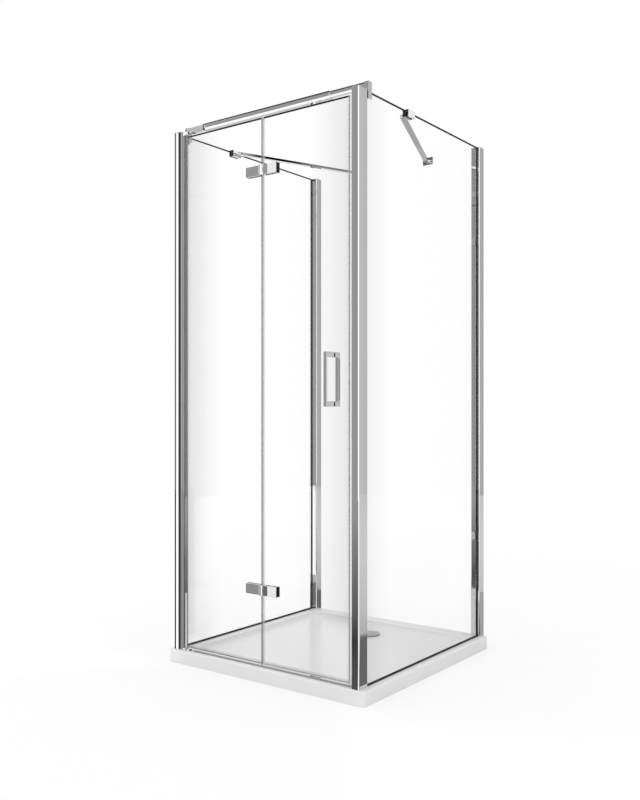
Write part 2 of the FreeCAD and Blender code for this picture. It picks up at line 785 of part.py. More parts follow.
def make_braces():
    leg_out = f"({GLASS_OUT} + pad_thickness)"
    leg_in = f"({GLASS_IN} - pad_thickness)"
    bridge = f"({PANEL_TOP} + pad_thickness)"
    top = f"({PANEL_TOP} + brace_clamp_rise)"
    foot = f"({PANEL_TOP} - brace_clamp_drop)"
    clamp = new_body("brace_clamp_blank")
    side = new_sketch(clamp, "XZ_Plane")
    outer = f"{leg_out} + brace_clamp_outer_leg"
    draw_polygon(side, [
        (BRACE_IN, top), (outer, top), (outer, foot), (leg_out, foot), (leg_out, bridge), (leg_in, bridge),
        (leg_in, foot), (BRACE_IN, foot)])
    pad(clamp, side, "brace_clamp_length", both_ways=True)
    round_edges(clamp, "clamp_edge_round", is_at("X", number(outer)))
    place(clamp, y=BRACE_Y)
    neck_y = around(BRACE_Y, "2 * brace_lug_radius")
    tongue = lug(BRACE_PIN_X, BRACE_Y, (BRACE_PIN_X, BRACE_IN), neck_y)
    screw_z = f"({PANEL_TOP} - clamp_screw_drop)"
    screw_spots = [f"({BRACE_Y} {sign} brace_screw_spacing / 2)" for sign in "-+"]
    drills = [drill("X", "clamp_screw_radius + screw_clearance", "brace_clamp_inner_leg",
                    (BRACE_IN, spot, screw_z)) for spot in screw_spots]
    drills.append(pin_hole(BRACE_PIN_X, BRACE_Y))
    both_hands("brace_clamp", cut("right_brace_clamp", join("brace_clamp_joined", [clamp] + tongue), drills))

    flange = box("flange_plate", around("brace_flange_offset", "brace_flange_width"),
                 (f"{WALL} - brace_flange_thickness", WALL), around(BRACE_Z, "brace_flange_height"))
    neck_x = around("brace_flange_offset", "2 * brace_lug_radius")
    ear = lug("brace_flange_offset", FLANGE_PIN_Y, neck_x, (FLANGE_PIN_Y, f"{WALL} - brace_flange_thickness"))
    fixings = [drill("Y", "brace_flange_hole_radius", "brace_flange_thickness",
                     (f"brace_flange_offset {sign} brace_flange_hole_spacing / 2",
                      f"{WALL} - brace_flange_thickness", BRACE_Z)) for sign in "-+"]
    fixings.append(pin_hole("brace_flange_offset", FLANGE_PIN_Y))
    both_hands("brace_flange", cut("right_brace_flange", join("flange_joined", [flange] + ear), fixings))

    length = f"sqrt({BRACE_RUN_X} ^ 2 + {BRACE_RUN_Y} ^ 2)"
    slot_half = "brace_lug_thickness / 2 + brace_slot_clearance"
    slot_deep = "brace_end_length + brace_lug_radius + brace_slot_end_gap"
    bar = new_body("brace_bar_blank")
    flank = new_sketch(bar, "YZ_Plane")
    end = f"({length} + brace_end_length)"
    half = "brace_bar_height / 2"
    near = "-brace_end_length"
    near_slot = f"{slot_deep} - brace_end_length"
    end_slot = f"{end} - ({slot_deep})"
    slot_low = f"-({slot_half})"
    draw_polygon(flank, [
        (near, f"-{half}"), (end, f"-{half}"), (end, slot_low), (end_slot, slot_low), (end_slot, slot_half),
        (end, slot_half), (end, half), (near, half), (near, slot_half), (near_slot, slot_half),
        (near_slot, slot_low), (near, slot_low)])
    pad(bar, flank, "brace_bar_width", both_ways=True)
    pins = new_sketch(bar, offset=f"-{half}")
    draw_circle(pins, "0", "0", "brace_pivot_radius + screw_clearance")
    draw_circle(pins, "0", length, "brace_pivot_radius + screw_clearance")
    pocket(bar, pins, upward=True)
    bar.Placement = FreeCAD.Placement(Vector(), Rotation(Vector(0, 0, 1), 0))
    bind(bar, "Placement.Rotation.Angle", f"atan2({BRACE_RUN_X}; {BRACE_RUN_Y})")
    place(bar, BRACE_PIN_X, BRACE_Y, BRACE_Z)
    both_hands("brace_bar", bar)

    low = f"{BRACE_Z} - {half}"
    pivots = []
    for x, y in ((BRACE_PIN_X, BRACE_Y), ("brace_flange_offset", FLANGE_PIN_Y)):
        head = cylinder("pivot_head", "Z", "brace_pivot_head_radius", "brace_pivot_head_height",
                        (x, y, f"{BRACE_Z} + {half}"))
        shank = cylinder("pivot_shank", "Z", "brace_pivot_radius", "brace_bar_height", (x, y, low))
        pivots.append(join("brace_pivot_screw", [head, shank]))
    keep("brace_pivot_screws", group("brace_pivot_screws", both_sides(pivots)))
    pads = clamp_pads(around(BRACE_Y, "brace_clamp_length"), foot)
    screws = [clamp_screw(BRACE_IN, "brace_clamp_inner_leg", spot, screw_z) for spot in screw_spots]
    return pads, screws


# Pivot side: a fixed jamb on the left post, carrying a bearing block over and under the door
BLOCK_TOP = f"({RIM} + pivot_block_height)"
PIVOT_LOW = f"({RIM} + pivot_profile_end)"
PIVOT_HIGH = f"({DOOR_TOP} + strip_end_gap)"
TOP_BLOCK_LOW = f"({PIVOT_HIGH} + pivot_profile_end - pivot_block_height)"


def make_pivot_side():
    jamb = new_body("hinge_jamb")
    section = new_sketch(jamb)
    jamb_y = f"({POST_FRONT} + jamb_setback)"
    draw_rectangle(section, f"-{POST_IN}", JAMB_FACE, jamb_y, f"{jamb_y} + jamb_depth")
    draw_rectangle(section, f"-{POST_IN} + jamb_wall", f"{JAMB_FACE} - jamb_wall", f"{jamb_y} + jamb_wall",
                   f"{jamb_y} + jamb_depth - jamb_wall")
    pad(jamb, section, "panel_height")
    place(jamb, z=RIM)
    keep("hinge_jamb", jamb)

    reach = (JAMB_FACE, f"{PIVOT_X} + pivot_block_reach")
    depth = around(DOOR_Y, "pivot_block_depth")
    blocks = (
        ("bottom", (RIM, BLOCK_TOP), BLOCK_TOP),
        ("top", (TOP_BLOCK_LOW, f"{TOP_BLOCK_LOW} + top_block_height"),
         f"{TOP_BLOCK_LOW} - bush_flange_height"))
    bushes = []
    for end, height, flange_low in blocks:
        block = box(f"{end}_block", reach, depth, height)
        bore = cylinder(f"{end}_block_bore", "Z", "bush_radius", "pivot_block_height",
                        (PIVOT_X, DOOR_Y, height[0]))
        keep(f"{end}_pivot_block", cut(f"{end}_pivot_block", block, [bore]))
        sleeve = cylinder(f"{end}_bush_sleeve", "Z", "bush_radius", "pivot_block_height",
                          (PIVOT_X, DOOR_Y, height[0]))
        collar = cylinder(f"{end}_bush_collar", "Z", "bush_flange_radius", "bush_flange_height",
                          (PIVOT_X, DOOR_Y, flange_low))
        pin_bore = drill("Z", "pivot_pin_radius + pivot_running_gap",
                         "pivot_block_height + 2 * bush_flange_height",
                         (PIVOT_X, DOOR_Y, f"{height[0]} - bush_flange_height"))
        bushes.append(cut(f"{end}_bush", join(f"{end}_bush_blank", [sleeve, collar]), [pin_bore]))
    keep("pivot_bushes", group("pivot_bushes", bushes))

    profile = new_body("pivot_profile")
    back = new_sketch(profile)
    draw_circle(back, "0", "0", "pivot_profile_radius")
    pad(profile, back, f"{PIVOT_HIGH} - {PIVOT_LOW}")
    nose = new_sketch(profile)
    draw_rectangle(nose, "0", "pivot_profile_nose", "-pivot_profile_radius", "pivot_profile_radius")
    pad(profile, nose, f"{PIVOT_HIGH} - {PIVOT_LOW}")
    slot = new_sketch(profile)
    slot_half = "(glass_thickness / 2 + gasket_thickness)"
    slot_start = "pivot_glass_edge - gasket_thickness / 2"
    draw_rectangle(slot, slot_start, "pivot_profile_nose + gasket_thickness", f"-{slot_half}", slot_half)
    pocket(profile, slot, upward=True)
    bore = new_sketch(profile)
    draw_circle(bore, "0", "0", "pivot_pin_radius + press_clearance")
    pocket(profile, bore, upward=True)
    place(profile, PIVOT_X, DOOR_Y, PIVOT_LOW)
    keep("pivot_profile", profile)

    low_end = f"({RIM} + bush_pin_gap)"
    high_end = f"({TOP_BLOCK_LOW} + pivot_block_height - bush_pin_gap)"
    pins = [
        cylinder("bottom_pin", "Z", "pivot_pin_radius", f"{PIVOT_LOW} + pivot_pin_grip - {low_end}",
                 (PIVOT_X, DOOR_Y, low_end)),
        cylinder("top_pin", "Z", "pivot_pin_radius", f"{high_end} - {PIVOT_HIGH} + pivot_pin_grip",
                 (PIVOT_X, DOOR_Y, f"{PIVOT_HIGH} - pivot_pin_grip"))]
    keep("pivot_pins", group("pivot_pins", pins))

    faces = ((f"{DOOR_FACE} - gasket_thickness", DOOR_FACE), (DOOR_BACK, f"{DOOR_BACK} + gasket_thickness"))
    strips = [box("pivot_strip", (f"{PIVOT_X} + pivot_glass_edge", PIVOT_NOSE), face, (DOOR_BOTTOM, DOOR_TOP))
              for face in faces]
    keep("pivot_gaskets", group("pivot_gaskets", strips))


# Hinges: outer leaves with knuckles about one pin, clamped through the glass to back plates
HINGE_Y = f"({DOOR_FACE} - hinge_axis_offset)"
HINGE_HEIGHTS = [f"({RIM} + hinge_lower_height)", f"({PANEL_TOP} - hinge_upper_drop)"]
PLATE_FACE = f"({DOOR_FACE} - pad_thickness - hinge_plate_thickness)"
PLATE_SEAT = f"({DOOR_FACE} - pad_thickness)"
BACK_SEAT = f"({DOOR_BACK} + pad_thickness)"
BACK_FACE = f"({BACK_SEAT} + hinge_back_thickness)"
SCREW_SPOTS = ["(hinge_plate_start + hinge_screw_inset)",
               "(hinge_plate_start + hinge_plate_length - hinge_screw_inset)"]


def ordered(sign, near, far):
    """A pair of X rules on the left (-) or right (+) leaf, low value first."""
    return (f"-({far})", f"-({near})") if sign == "-" else (near, far)


def side_x(sign, rule):
    return f"-({rule})" if sign == "-" else rule


def screw_holes(sign, middle, radius, start, length):
    return [cylinder("screw_hole", "Y", radius, length, (side_x(sign, spot), start, middle))
            for spot in SCREW_SPOTS]


def rounded_plate(name, x, y, z, face):
    """A hinge plate with its showing edges eased."""
    body = new_body(name)
    outline = new_sketch(body, "XZ_Plane")
    draw_rectangle(outline, x[0], x[1], f"({z[0]})", f"({z[1]})")
    thickness = f"({y[1]}) - ({y[0]})"
    pad(body, outline, thickness, both_ways=True)
    place(body, y=f"({y[0]} + {y[1]}) / 2")
    doc.recompute()
    level = number(face) - body.Placement.Base.y
    round_edges(body, "hinge_edge_round", is_at("Y", level))
    return body


def hinge_leaf(sign, middle, bands, bore_radius):
    """One outer leaf: its plate, and a knuckle with an arm in each height band."""
    height = around(middle, "hinge_plate_height")
    far = "hinge_plate_start + hinge_plate_length"
    pieces = [rounded_plate("hinge_plate", ordered(sign, "hinge_plate_start", far), (PLATE_FACE, PLATE_SEAT),
                            height, PLATE_FACE)]
    for low, high in bands:
        arm_x = ordered(sign, "0", "hinge_plate_start + hinge_edge_round")
        arm_y = (f"{PLATE_FACE} + hinge_edge_round", f"{PLATE_SEAT} - hinge_edge_round")
        pieces.append(box("hinge_arm", arm_x, arm_y, (f"{middle} + {low}", f"{middle} + {high}")))
        pieces.append(cylinder("hinge_knuckle", "Z", "hinge_knuckle_radius", f"({high}) - ({low})",
                               ("0", HINGE_Y, f"{middle} + {low}")))
    bore = drill("Z", bore_radius, "hinge_plate_height", ("0", HINGE_Y, height[0]))
    taps = screw_holes(sign, middle, "hinge_screw_radius + screw_clearance",
                       f"{PLATE_SEAT} - hinge_screw_bite", "hinge_screw_bite + cut_overrun")
    return cut("hinge_leaf", join("hinge_leaf_blank", pieces), [bore] + taps)


def make_hinges():
    half = "hinge_plate_height / 2"
    knuckle = "hinge_knuckle_height / 2"
    middle_band = [(f"-{knuckle}", knuckle)]
    end_bands = [(f"-{half}", f"-({knuckle} + hinge_knuckle_gap)"), (f"{knuckle} + hinge_knuckle_gap", half)]
    leaves = (
        ("left", "-", middle_band, "hinge_pin_radius + hinge_pin_running_gap"),
        ("right", "+", end_bands, "hinge_pin_radius + press_clearance"))
    far = "hinge_plate_start + hinge_plate_length"
    for side, sign, bands, bore_radius in leaves:
        keep(f"{side}_hinge_leaves", group(f"{side}_hinge_leaves", [
            hinge_leaf(sign, middle, bands, bore_radius) for middle in HINGE_HEIGHTS]))
        backs = []
        pads = []
        screws = []
        for middle in HINGE_HEIGHTS:
            plate_x = ordered(sign, "hinge_plate_start", far)
            height = around(middle, "hinge_plate_height")
            back = rounded_plate("hinge_back", plate_x, (BACK_SEAT, BACK_FACE), height, BACK_FACE)
            drills = screw_holes(sign, middle, "hinge_screw_radius + screw_clearance", DOOR_BACK,
                                 f"{BACK_FACE} - {DOOR_BACK}")
            sinks = screw_holes(sign, middle, "hinge_screw_head_radius + screw_clearance",
                                f"{BACK_FACE} - hinge_screw_head_height",
                                "hinge_screw_head_height + cut_overrun")
            backs.append(cut("hinge_back_plate", back, drills + sinks))
            for seat in ((PLATE_SEAT, DOOR_FACE), (DOOR_BACK, BACK_SEAT)):
                holes = screw_holes(sign, middle, "hinge_screw_radius + screw_clearance",
                                    f"{seat[0]} - cut_overrun", "pad_thickness + 2 * cut_overrun")
                pads.append(cut("hinge_pad", box("hinge_pad_blank", plate_x, seat, height), holes))
            for spot in SCREW_SPOTS:
                x = side_x(sign, spot)
                tip = f"({PLATE_SEAT} - hinge_screw_bite)"
                head_seat = f"({BACK_FACE} - hinge_screw_head_height)"
                shank = cylinder("screw_shank", "Y", "hinge_screw_radius", f"{head_seat} - {tip}",
                                 (x, tip, middle))
                head = cylinder("screw_head", "Y", "hinge_screw_head_radius", "hinge_screw_head_height",
                                (x, head_seat, middle))
                screws.append(join("hinge_screw", [shank, head]))
        keep(f"{side}_hinge_back_plates", group(f"{side}_hinge_back_plates", backs))
        keep(f"{side}_hinge_pads", group(f"{side}_hinge_pads", pads))
        keep(f"{side}_hinge_screws", group(f"{side}_hinge_screws", screws))
    pins = [cylinder("hinge_pin", "Z", "hinge_pin_radius", "hinge_plate_height",
                     ("0", HINGE_Y, f"{middle} - {half}")) for middle in HINGE_HEIGHTS]
    keep("hinge_pins", group("hinge_pins", pins))


# Door leaves: two panes with the holes for their hinges and handle
HANDLE_X = f"({LEAF_END} - handle_from_edge)"
HANDLE_Z = f"({RIM} + handle_centre_height)"
ARM_DROP = "(handle_length / 2 - handle_arm_height / 2)"
BOLT_HEIGHTS = [f"({HANDLE_Z} - {ARM_DROP})", f"({HANDLE_Z} + {ARM_DROP})"]


def make_leaf_glass():
    left = (f"{PIVOT_X} + pivot_glass_edge", "-fold_gap / 2")
    right = ("fold_gap / 2", LEAF_END)
    for name, sign, edges in (("left_leaf_glass", "-", left), ("right_leaf_glass", "+", right)):
        body = new_body(name)
        pane = new_sketch(body, "XZ_Plane")
        draw_rectangle(pane, edges[0], edges[1], DOOR_BOTTOM, DOOR_TOP)
        for middle in HINGE_HEIGHTS:
            for spot in SCREW_SPOTS:
                draw_circle(pane, side_x(sign, spot), middle, "hinge_glass_hole_radius")
        if sign == "+":
            for height in BOLT_HEIGHTS:
                draw_circle(pane, HANDLE_X, height, "handle_glass_hole_radius")
        pad(body, pane, "glass_thickness", both_ways=True)
        place(body, y=DOOR_Y)
        keep(name, body)


# Seals: fold seal and closing seal on the right leaf, drip seals under both, strip on the post
def make_seals():
    seal_low = f"({DOOR_BOTTOM} - drip_seal_drop)"
    face = f"({DOOR_FACE} - seal_lip)"
    back = f"({DOOR_BACK} + seal_lip)"
    glass_edge = "fold_gap / 2"
    fold = new_body("fold_seal")
    section = new_sketch(fold)
    lip = f"({glass_edge} + seal_lip_reach)"
    bulb = "(fold_seal_gap - fold_gap / 2)"
    draw_polygon(section, [
        (bulb, DOOR_FACE), ("0", DOOR_FACE), ("0", face), (lip, face), (lip, DOOR_FACE),
        (glass_edge, DOOR_FACE), (glass_edge, DOOR_BACK), (lip, DOOR_BACK), (lip, back), ("0", back),
        ("0", DOOR_BACK), (bulb, DOOR_BACK)])
    pad(fold, section, f"{DOOR_TOP} - {seal_low}")
    place(fold, z=seal_low)
    keep("fold_seal", fold)

    closing = new_body("closing_seal")
    outline = new_sketch(closing)
    lip_start = f"({LEAF_END} - edge_seal_lip_reach)"
    draw_polygon(outline, [
        (lip_start, face), (EDGE_END, face), (EDGE_END, back), (lip_start, back), (lip_start, DOOR_BACK),
        (LEAF_END, DOOR_BACK), (LEAF_END, DOOR_FACE), (lip_start, DOOR_FACE)])
    pad(closing, outline, f"{DOOR_TOP} - {seal_low}")
    place(closing, z=seal_low)
    keep("closing_seal", closing)

    spans = (
        ("left_drip_seal", (f"{PIVOT_NOSE} + strip_end_gap", f"-{glass_edge}")),
        ("right_drip_seal", (f"{lip} + strip_end_gap", f"{lip_start} - strip_end_gap")))
    for name, (start, end) in spans:
        drip = new_body(name)
        profile = new_sketch(drip, "YZ_Plane")
        rise = f"({DOOR_BOTTOM} + drip_seal_rise)"
        draw_polygon(profile, [
            (face, seal_low), (back, seal_low), (back, rise), (DOOR_BACK, rise), (DOOR_BACK, DOOR_BOTTOM),
            (DOOR_FACE, DOOR_BOTTOM), (DOOR_FACE, rise), (face, rise)])
        pad(drip, profile, f"({end}) - ({start})")
        place(drip, x=start)
        keep(name, drip)

    strike = box("strike_seal", (f"{POST_IN} - strike_depth", POST_IN), (face, back), (RIM, PANEL_TOP))
    keep("strike_seal", strike)

    sill = new_body("door_threshold")
    ramp = new_sketch(sill, "YZ_Plane")
    sill_top = f"({seal_low} - threshold_gap)"
    sill_front = f"({DOOR_Y} - threshold_depth / 2)"
    sill_back = f"({DOOR_Y} + threshold_depth / 2)"
    draw_polygon(ramp, [
        (sill_front, RIM), (sill_back, RIM), (f"{sill_back} - threshold_slope", sill_top),
        (f"{sill_front} + threshold_slope", sill_top)])
    sill_start = f"({PIVOT_X} + pivot_block_reach + strip_end_gap)"
    sill_end = f"({POST_IN} - strike_depth - strip_end_gap)"
    pad(sill, ramp, f"{sill_end} - {sill_start}")
    place(sill, x=sill_start)
    keep("door_threshold", sill)


# Handle: a square bow on each face of the right leaf, bolted together through the glass
def make_handle():
    low = f"({HANDLE_Z} - handle_length / 2)"
    high = f"({HANDLE_Z} + handle_length / 2)"
    bows = (
        ("outer_handle", f"({DOOR_FACE} - handle_washer_thickness)", "-", "outer_handle_reach"),
        ("inner_handle", f"({DOOR_BACK} + handle_washer_thickness)", "+", "inner_handle_reach"))
    for name, seat, sign, reach in bows:
        blank = new_body(f"{name}_blank")
        bow = new_sketch(blank, "YZ_Plane")
        tip = f"({seat} {sign} {reach})"
        grip = f"({tip} {sign} -handle_bar_thickness)"
        draw_polygon(bow, [
            (seat, low), (tip, low), (tip, high), (seat, high), (seat, f"{high} - handle_arm_height"),
            (grip, f"{high} - handle_arm_height"), (grip, f"{low} + handle_arm_height"),
            (seat, f"{low} + handle_arm_height")])
        pad(blank, bow, "handle_width", both_ways=True)
        at_seat = is_at("Y", number(seat))
        round_edges(blank, "handle_edge_round", lambda edge: not at_seat(edge))
        place(blank, x=HANDLE_X)
        start = f"{seat} - handle_bolt_bite"
        drills = [cylinder("bolt_hole", "Y", "handle_bolt_radius + screw_clearance", "2 * handle_bolt_bite",
                           (HANDLE_X, start, height)) for height in BOLT_HEIGHTS]
        keep(name, cut(name, blank, drills))

    bite = "(handle_washer_thickness + handle_bolt_bite)"
    bolts = [cylinder("handle_bolt", "Y", "handle_bolt_radius", f"glass_thickness + 2 * {bite}",
                      (HANDLE_X, f"{DOOR_FACE} - {bite}", height)) for height in BOLT_HEIGHTS]
    keep("handle_bolts", group("handle_bolts", bolts))
    washers = []
    for height in BOLT_HEIGHTS:
        for start in (f"{DOOR_FACE} - handle_washer_thickness", DOOR_BACK):
            disc = cylinder("washer_disc", "Y", "handle_washer_radius", "handle_washer_thickness",
                            (HANDLE_X, start, height))
            eye = drill("Y", "handle_bolt_radius + screw_clearance", "handle_washer_thickness",
                        (HANDLE_X, start, height))
            washers.append(cut("handle_washer", disc, [eye]))
    keep("handle_washers", group("handle_washers", washers))


make_tray()
make_drain()
make_posts()
make_wall_profiles()
make_side_panels()
stabiliser_pads, stabiliser_screws = make_stabiliser()
brace_pads, brace_screws = make_braces()
keep("clamp_pads", group("clamp_pads", both_sides(stabiliser_pads + brace_pads)))
keep("clamp_screws", group("clamp_screws", both_sides(stabiliser_screws + brace_screws)))
make_pivot_side()
make_hinges()
make_leaf_glass()
make_seals()
make_handle()
doc.recompute()

for thing in doc.Objects:
    if "Invalid" in thing.State or "Error" in thing.State:
        raise ValueError(f"{thing.Label} failed: {thing.State}")
for node in nodes:
    if node.Shape.isNull() or not node.Shape.isValid():
        raise ValueError(f"{node.Label} has no valid shape")

os.makedirs("parts", exist_ok=True)
for node in nodes:
    node.Shape.exportStep(f"parts/{node.Label}.step")
print(len(nodes), "pieces written")
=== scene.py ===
# %% [markdown]
# # A folding shower enclosure, dressed for its photograph
#
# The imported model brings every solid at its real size: tray, posts, glass, hinges and bars. This
# lesson adds what a solid can't show: the soft rounding of metal edges, the beads beside the
# glass, the sockets of the screws, the finish of each surface and the light of a plain white
# studio. Everything is in metres, with X along the door, Y towards the wall and Z up.

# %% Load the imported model
import contextlib
import json
import math

import bmesh
import bpy
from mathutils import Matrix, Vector


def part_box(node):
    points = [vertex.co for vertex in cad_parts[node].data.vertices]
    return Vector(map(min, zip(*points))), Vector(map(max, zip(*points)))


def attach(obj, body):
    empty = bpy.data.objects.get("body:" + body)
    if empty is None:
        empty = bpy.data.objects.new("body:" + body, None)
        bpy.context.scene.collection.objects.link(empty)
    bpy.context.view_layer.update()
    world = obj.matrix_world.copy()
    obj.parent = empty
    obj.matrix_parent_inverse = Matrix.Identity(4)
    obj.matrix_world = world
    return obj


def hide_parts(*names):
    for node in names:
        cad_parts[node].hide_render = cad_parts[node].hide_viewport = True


MM = 0.001
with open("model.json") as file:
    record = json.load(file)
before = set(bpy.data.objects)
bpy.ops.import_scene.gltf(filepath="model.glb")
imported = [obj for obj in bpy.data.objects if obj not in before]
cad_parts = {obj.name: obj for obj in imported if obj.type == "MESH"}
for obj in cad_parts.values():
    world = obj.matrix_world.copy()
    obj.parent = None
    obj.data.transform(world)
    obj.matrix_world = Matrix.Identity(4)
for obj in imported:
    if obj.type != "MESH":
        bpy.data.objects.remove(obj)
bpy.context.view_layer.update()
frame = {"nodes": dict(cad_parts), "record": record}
nodes = frame["nodes"]

# %% [markdown]
# ## The camera
#
# The photograph is a level view from the right of the door, so upright edges stay upright. A
# level camera keeps them so, and a small vertical shift moves the horizon where the photograph
# has it. The distance and the turn were found from the corners of the tray.

# %% Place the camera
EYE = Vector((2.0526, -2.839, 0.971))
EYE_TURN = math.radians(36.69)
LENS = 39.95
HORIZON_SHIFT = 0.0104

camera_data = bpy.data.cameras.new("camera")
camera_data.lens = LENS
camera_data.shift_y = HORIZON_SHIFT
camera = bpy.data.objects.new("camera", camera_data)
camera.location = EYE
camera.rotation_euler = (math.radians(90), 0, EYE_TURN)
bpy.context.scene.collection.objects.link(camera)
bpy.context.scene.camera = camera
print("camera at", [round(value, 3) for value in EYE], "lens", LENS)

# %% [markdown]
# ## Sums in a node tree
#
# A finish is a small sum: some noise, some lines, a mask for an edge. Wiring each Math node by
# hand hides that sum, so one class wraps a socket and lets Python's own operators add the nodes.
# A second class holds one material and adds every other node through a single method.

# %% Wrap sockets so that they can be added and multiplied
class Field:
    """A socket that takes part in sums as a number does."""

    def __init__(self, socket):
        self.socket = socket

    def math(self, operation, *others, first=None):
        node = self.socket.node.id_data.nodes.new("ShaderNodeMath")
        node.operation = operation
        terms = (self, *others) if first is None else (first, self)
        for place, term in zip(node.inputs, terms):
            connect(place, term)
        return Field(node.outputs[0])

    def __add__(self, other):
        return self.math("ADD", other)

    __radd__ = __add__

    def __mul__(self, other):
        return self.math("MULTIPLY", other)

    __rmul__ = __mul__

    def __sub__(self, other):
        return self.math("SUBTRACT", other)

    def __rsub__(self, other):
        return self.math("SUBTRACT", first=other)

    def __truediv__(self, other):
        return self.math("DIVIDE", other)

    def __gt__(self, other):
        return self.math("GREATER_THAN", other)

    def __lt__(self, other):
        return self.math("LESS_THAN", other)

    def __abs__(self):
        return self.math("ABSOLUTE")


def connect(place, value):
    """Link a field to an input, or set a plain value on it."""
    if isinstance(value, Field):
        place.id_data.links.new(value.socket, place)
    else:
        place.default_value = value


class Finish:
    """One material and the way nodes are added to it."""

    def __init__(self, name, tree=None):
        if tree is None:
            self.material = bpy.data.materials.new(name)
            self.material.use_nodes = True
            tree = self.material.node_tree
        self.tree = tree
        self.tree.nodes.clear()

    def node(self, kind, settings=None, sockets=None, output=0):
        """Add a node, set it up, feed its inputs and hand back one output."""
        made = self.tree.nodes.new(kind)
        for key, value in (settings or {}).items():
            if key == "stops":
                set_stops(made.color_ramp, value)
            else:
                setattr(made, key, value)
        for key, value in (sockets or {}).items():
            connect(made.inputs[key], value)
        return Field(made.outputs[output]) if made.outputs else made

    def place(self):
        """The point on the piece, in metres."""
        return self.node("ShaderNodeTexCoord", output="Object")

    def along(self, axis):
        """One coordinate of that point."""
        return self.node("ShaderNodeSeparateXYZ", sockets={"Vector": self.place()}, output=axis)

    def distance(self):
        """How far that point lies from the origin."""
        return self.node("ShaderNodeVectorMath", {"operation": "LENGTH"}, {0: self.place()},
                         output="Value")

    def facing(self, axis):
        """How far the surface's normal points along an axis, in the piece's own frame."""
        normal = self.node("ShaderNodeTexCoord", output="Normal")
        return abs(self.node("ShaderNodeSeparateXYZ", sockets={"Vector": normal}, output=axis))

    def noise(self, scale, detail=2.0, stretch=(1, 1, 1)):
        """Soft noise at a scale per metre, drawn out along the axes with a small stretch."""
        spot = self.node("ShaderNodeMapping", {"vector_type": "POINT"},
                         {"Vector": self.place(), "Scale": stretch})
        return self.node("ShaderNodeTexNoise", sockets={
            "Vector": spot, "Scale": scale, "Detail": detail})

    def bump(self, height, strength, distance):
        return self.node("ShaderNodeBump", sockets={
            "Height": height, "Strength": strength, "Distance": distance})

    def blend(self, share, first, second, way="MIX"):
        """Mix two colours, or join them in another way."""
        return self.node("ShaderNodeMix", {"data_type": "RGBA", "blend_type": way},
                         {0: share, 6: first, 7: second}, output=2)

    def principled(self, **sockets):
        """A Principled shader; underscores in the names stand for spaces."""
        return self.node("ShaderNodeBsdfPrincipled", sockets={
            key.replace("_", " "): value for key, value in sockets.items()})

    def finish(self, shader):
        self.node("ShaderNodeOutputMaterial", sockets={"Surface": shader})
        return self.material


def set_stops(ramp, stops):
    """Give a colour ramp its stops, as pairs of place and grey level."""
    while len(ramp.elements) < len(stops):
        ramp.elements.new(1.0)
    for element, (spot, level) in zip(ramp.elements, stops):
        element.position = spot
        element.color = grey(level)


def grey(level, blue=0.0):
    return (level, level, level + blue, 1.0)


print("shader helpers ready")

# %% [markdown]
# ## The studio
#
# The photograph has a pure white ground, with no horizon. A very large pale floor and a white
# world give that. The world is white to the camera, to mirrors and through glass, and a little
# dimmer as a lamp, so that white acrylic doesn't burn out.

# %% Build the floor and the world
FLOOR_SPAN = 60.0
FLOOR_DROP = 0.5 * MM
WORLD_LIGHT = 0.92
FLOOR_GLOW = 0.55
GLOW_REACH = 4.0


def seen_directly(finish):
    """One for rays from the eye, from mirrors and through glass."""
    rays = [finish.node("ShaderNodeLightPath", output=name)
            for name in ("Is Camera Ray", "Is Glossy Ray", "Is Transmission Ray")]
    return rays[0].math("MAXIMUM", rays[1]).math("MAXIMUM", rays[2])


def pale_floor():
    finish = Finish("pale_floor")
    paint = finish.principled(Base_Color=grey(0.93), Roughness=0.9)
    glow = finish.node("ShaderNodeEmission", sockets={"Color": grey(1.0), "Strength": 1.0})
    outwards = (finish.distance() / GLOW_REACH).math("MINIMUM", 1.0)
    share = FLOOR_GLOW + (1 - FLOOR_GLOW) * outwards
    return finish.finish(finish.node("ShaderNodeMixShader", sockets={
        0: seen_directly(finish) * share, 1: paint, 2: glow}))


bpy.ops.object.select_all(action="DESELECT")
bpy.ops.mesh.primitive_plane_add(size=FLOOR_SPAN, location=(0, 0, -FLOOR_DROP))
floor = bpy.context.object
floor.name = "studio_floor"
floor.data.materials.append(pale_floor())

world = bpy.data.worlds.new("studio")
world.use_nodes = True
bpy.context.scene.world = world
sky = Finish("studio", world.node_tree)
strength = WORLD_LIGHT + (1 - WORLD_LIGHT) * seen_directly(sky)
background = sky.node("ShaderNodeBackground", sockets={"Color": grey(1.0), "Strength": strength})
sky.node("ShaderNodeOutputWorld", sockets={"Surface": background})
bpy.context.scene.view_settings.view_transform = "Standard"
print("floor", FLOOR_SPAN, "m, world light", WORLD_LIGHT)

# %% [markdown]
# One broad lamp over the front left gives the tray its soft shading, and a weaker one fills from
# the right. They are large, so their shadows have no hard edge.

# %% Hang the lamps
LAMP_AIM = Vector((0, 0, 0.8))
LAMPS = (  # name, place, size in metres, watts
    ("key_lamp", (-2.2, -2.6, 4.6), 3.2, 40),
    ("fill_lamp", (3.4, -1.0, 3.6), 2.6, 15),
)
for name, spot, size, power in LAMPS:
    lamp_data = bpy.data.lights.new(name, "AREA")
    lamp_data.size = size
    lamp_data.energy = power
    lamp = bpy.data.objects.new(name, lamp_data)
    lamp.location = spot
    lamp.rotation_euler = (LAMP_AIM - Vector(spot)).to_track_quat("-Z", "Y").to_euler()
    lamp.visible_glossy = False
    bpy.context.scene.collection.objects.link(lamp)
    print(name, "at", spot, power, "W")

# %% [markdown]
# Polished metal has no colour of its own: it shows the room. Photographers stand grey cards
# round a chrome object so that its faces read as steel and not as white paper. A ring of card
# stands round the enclosure, and a dark mat lies round its foot. They are made for mirrors
# alone, so neither the camera nor the lamps notice them.

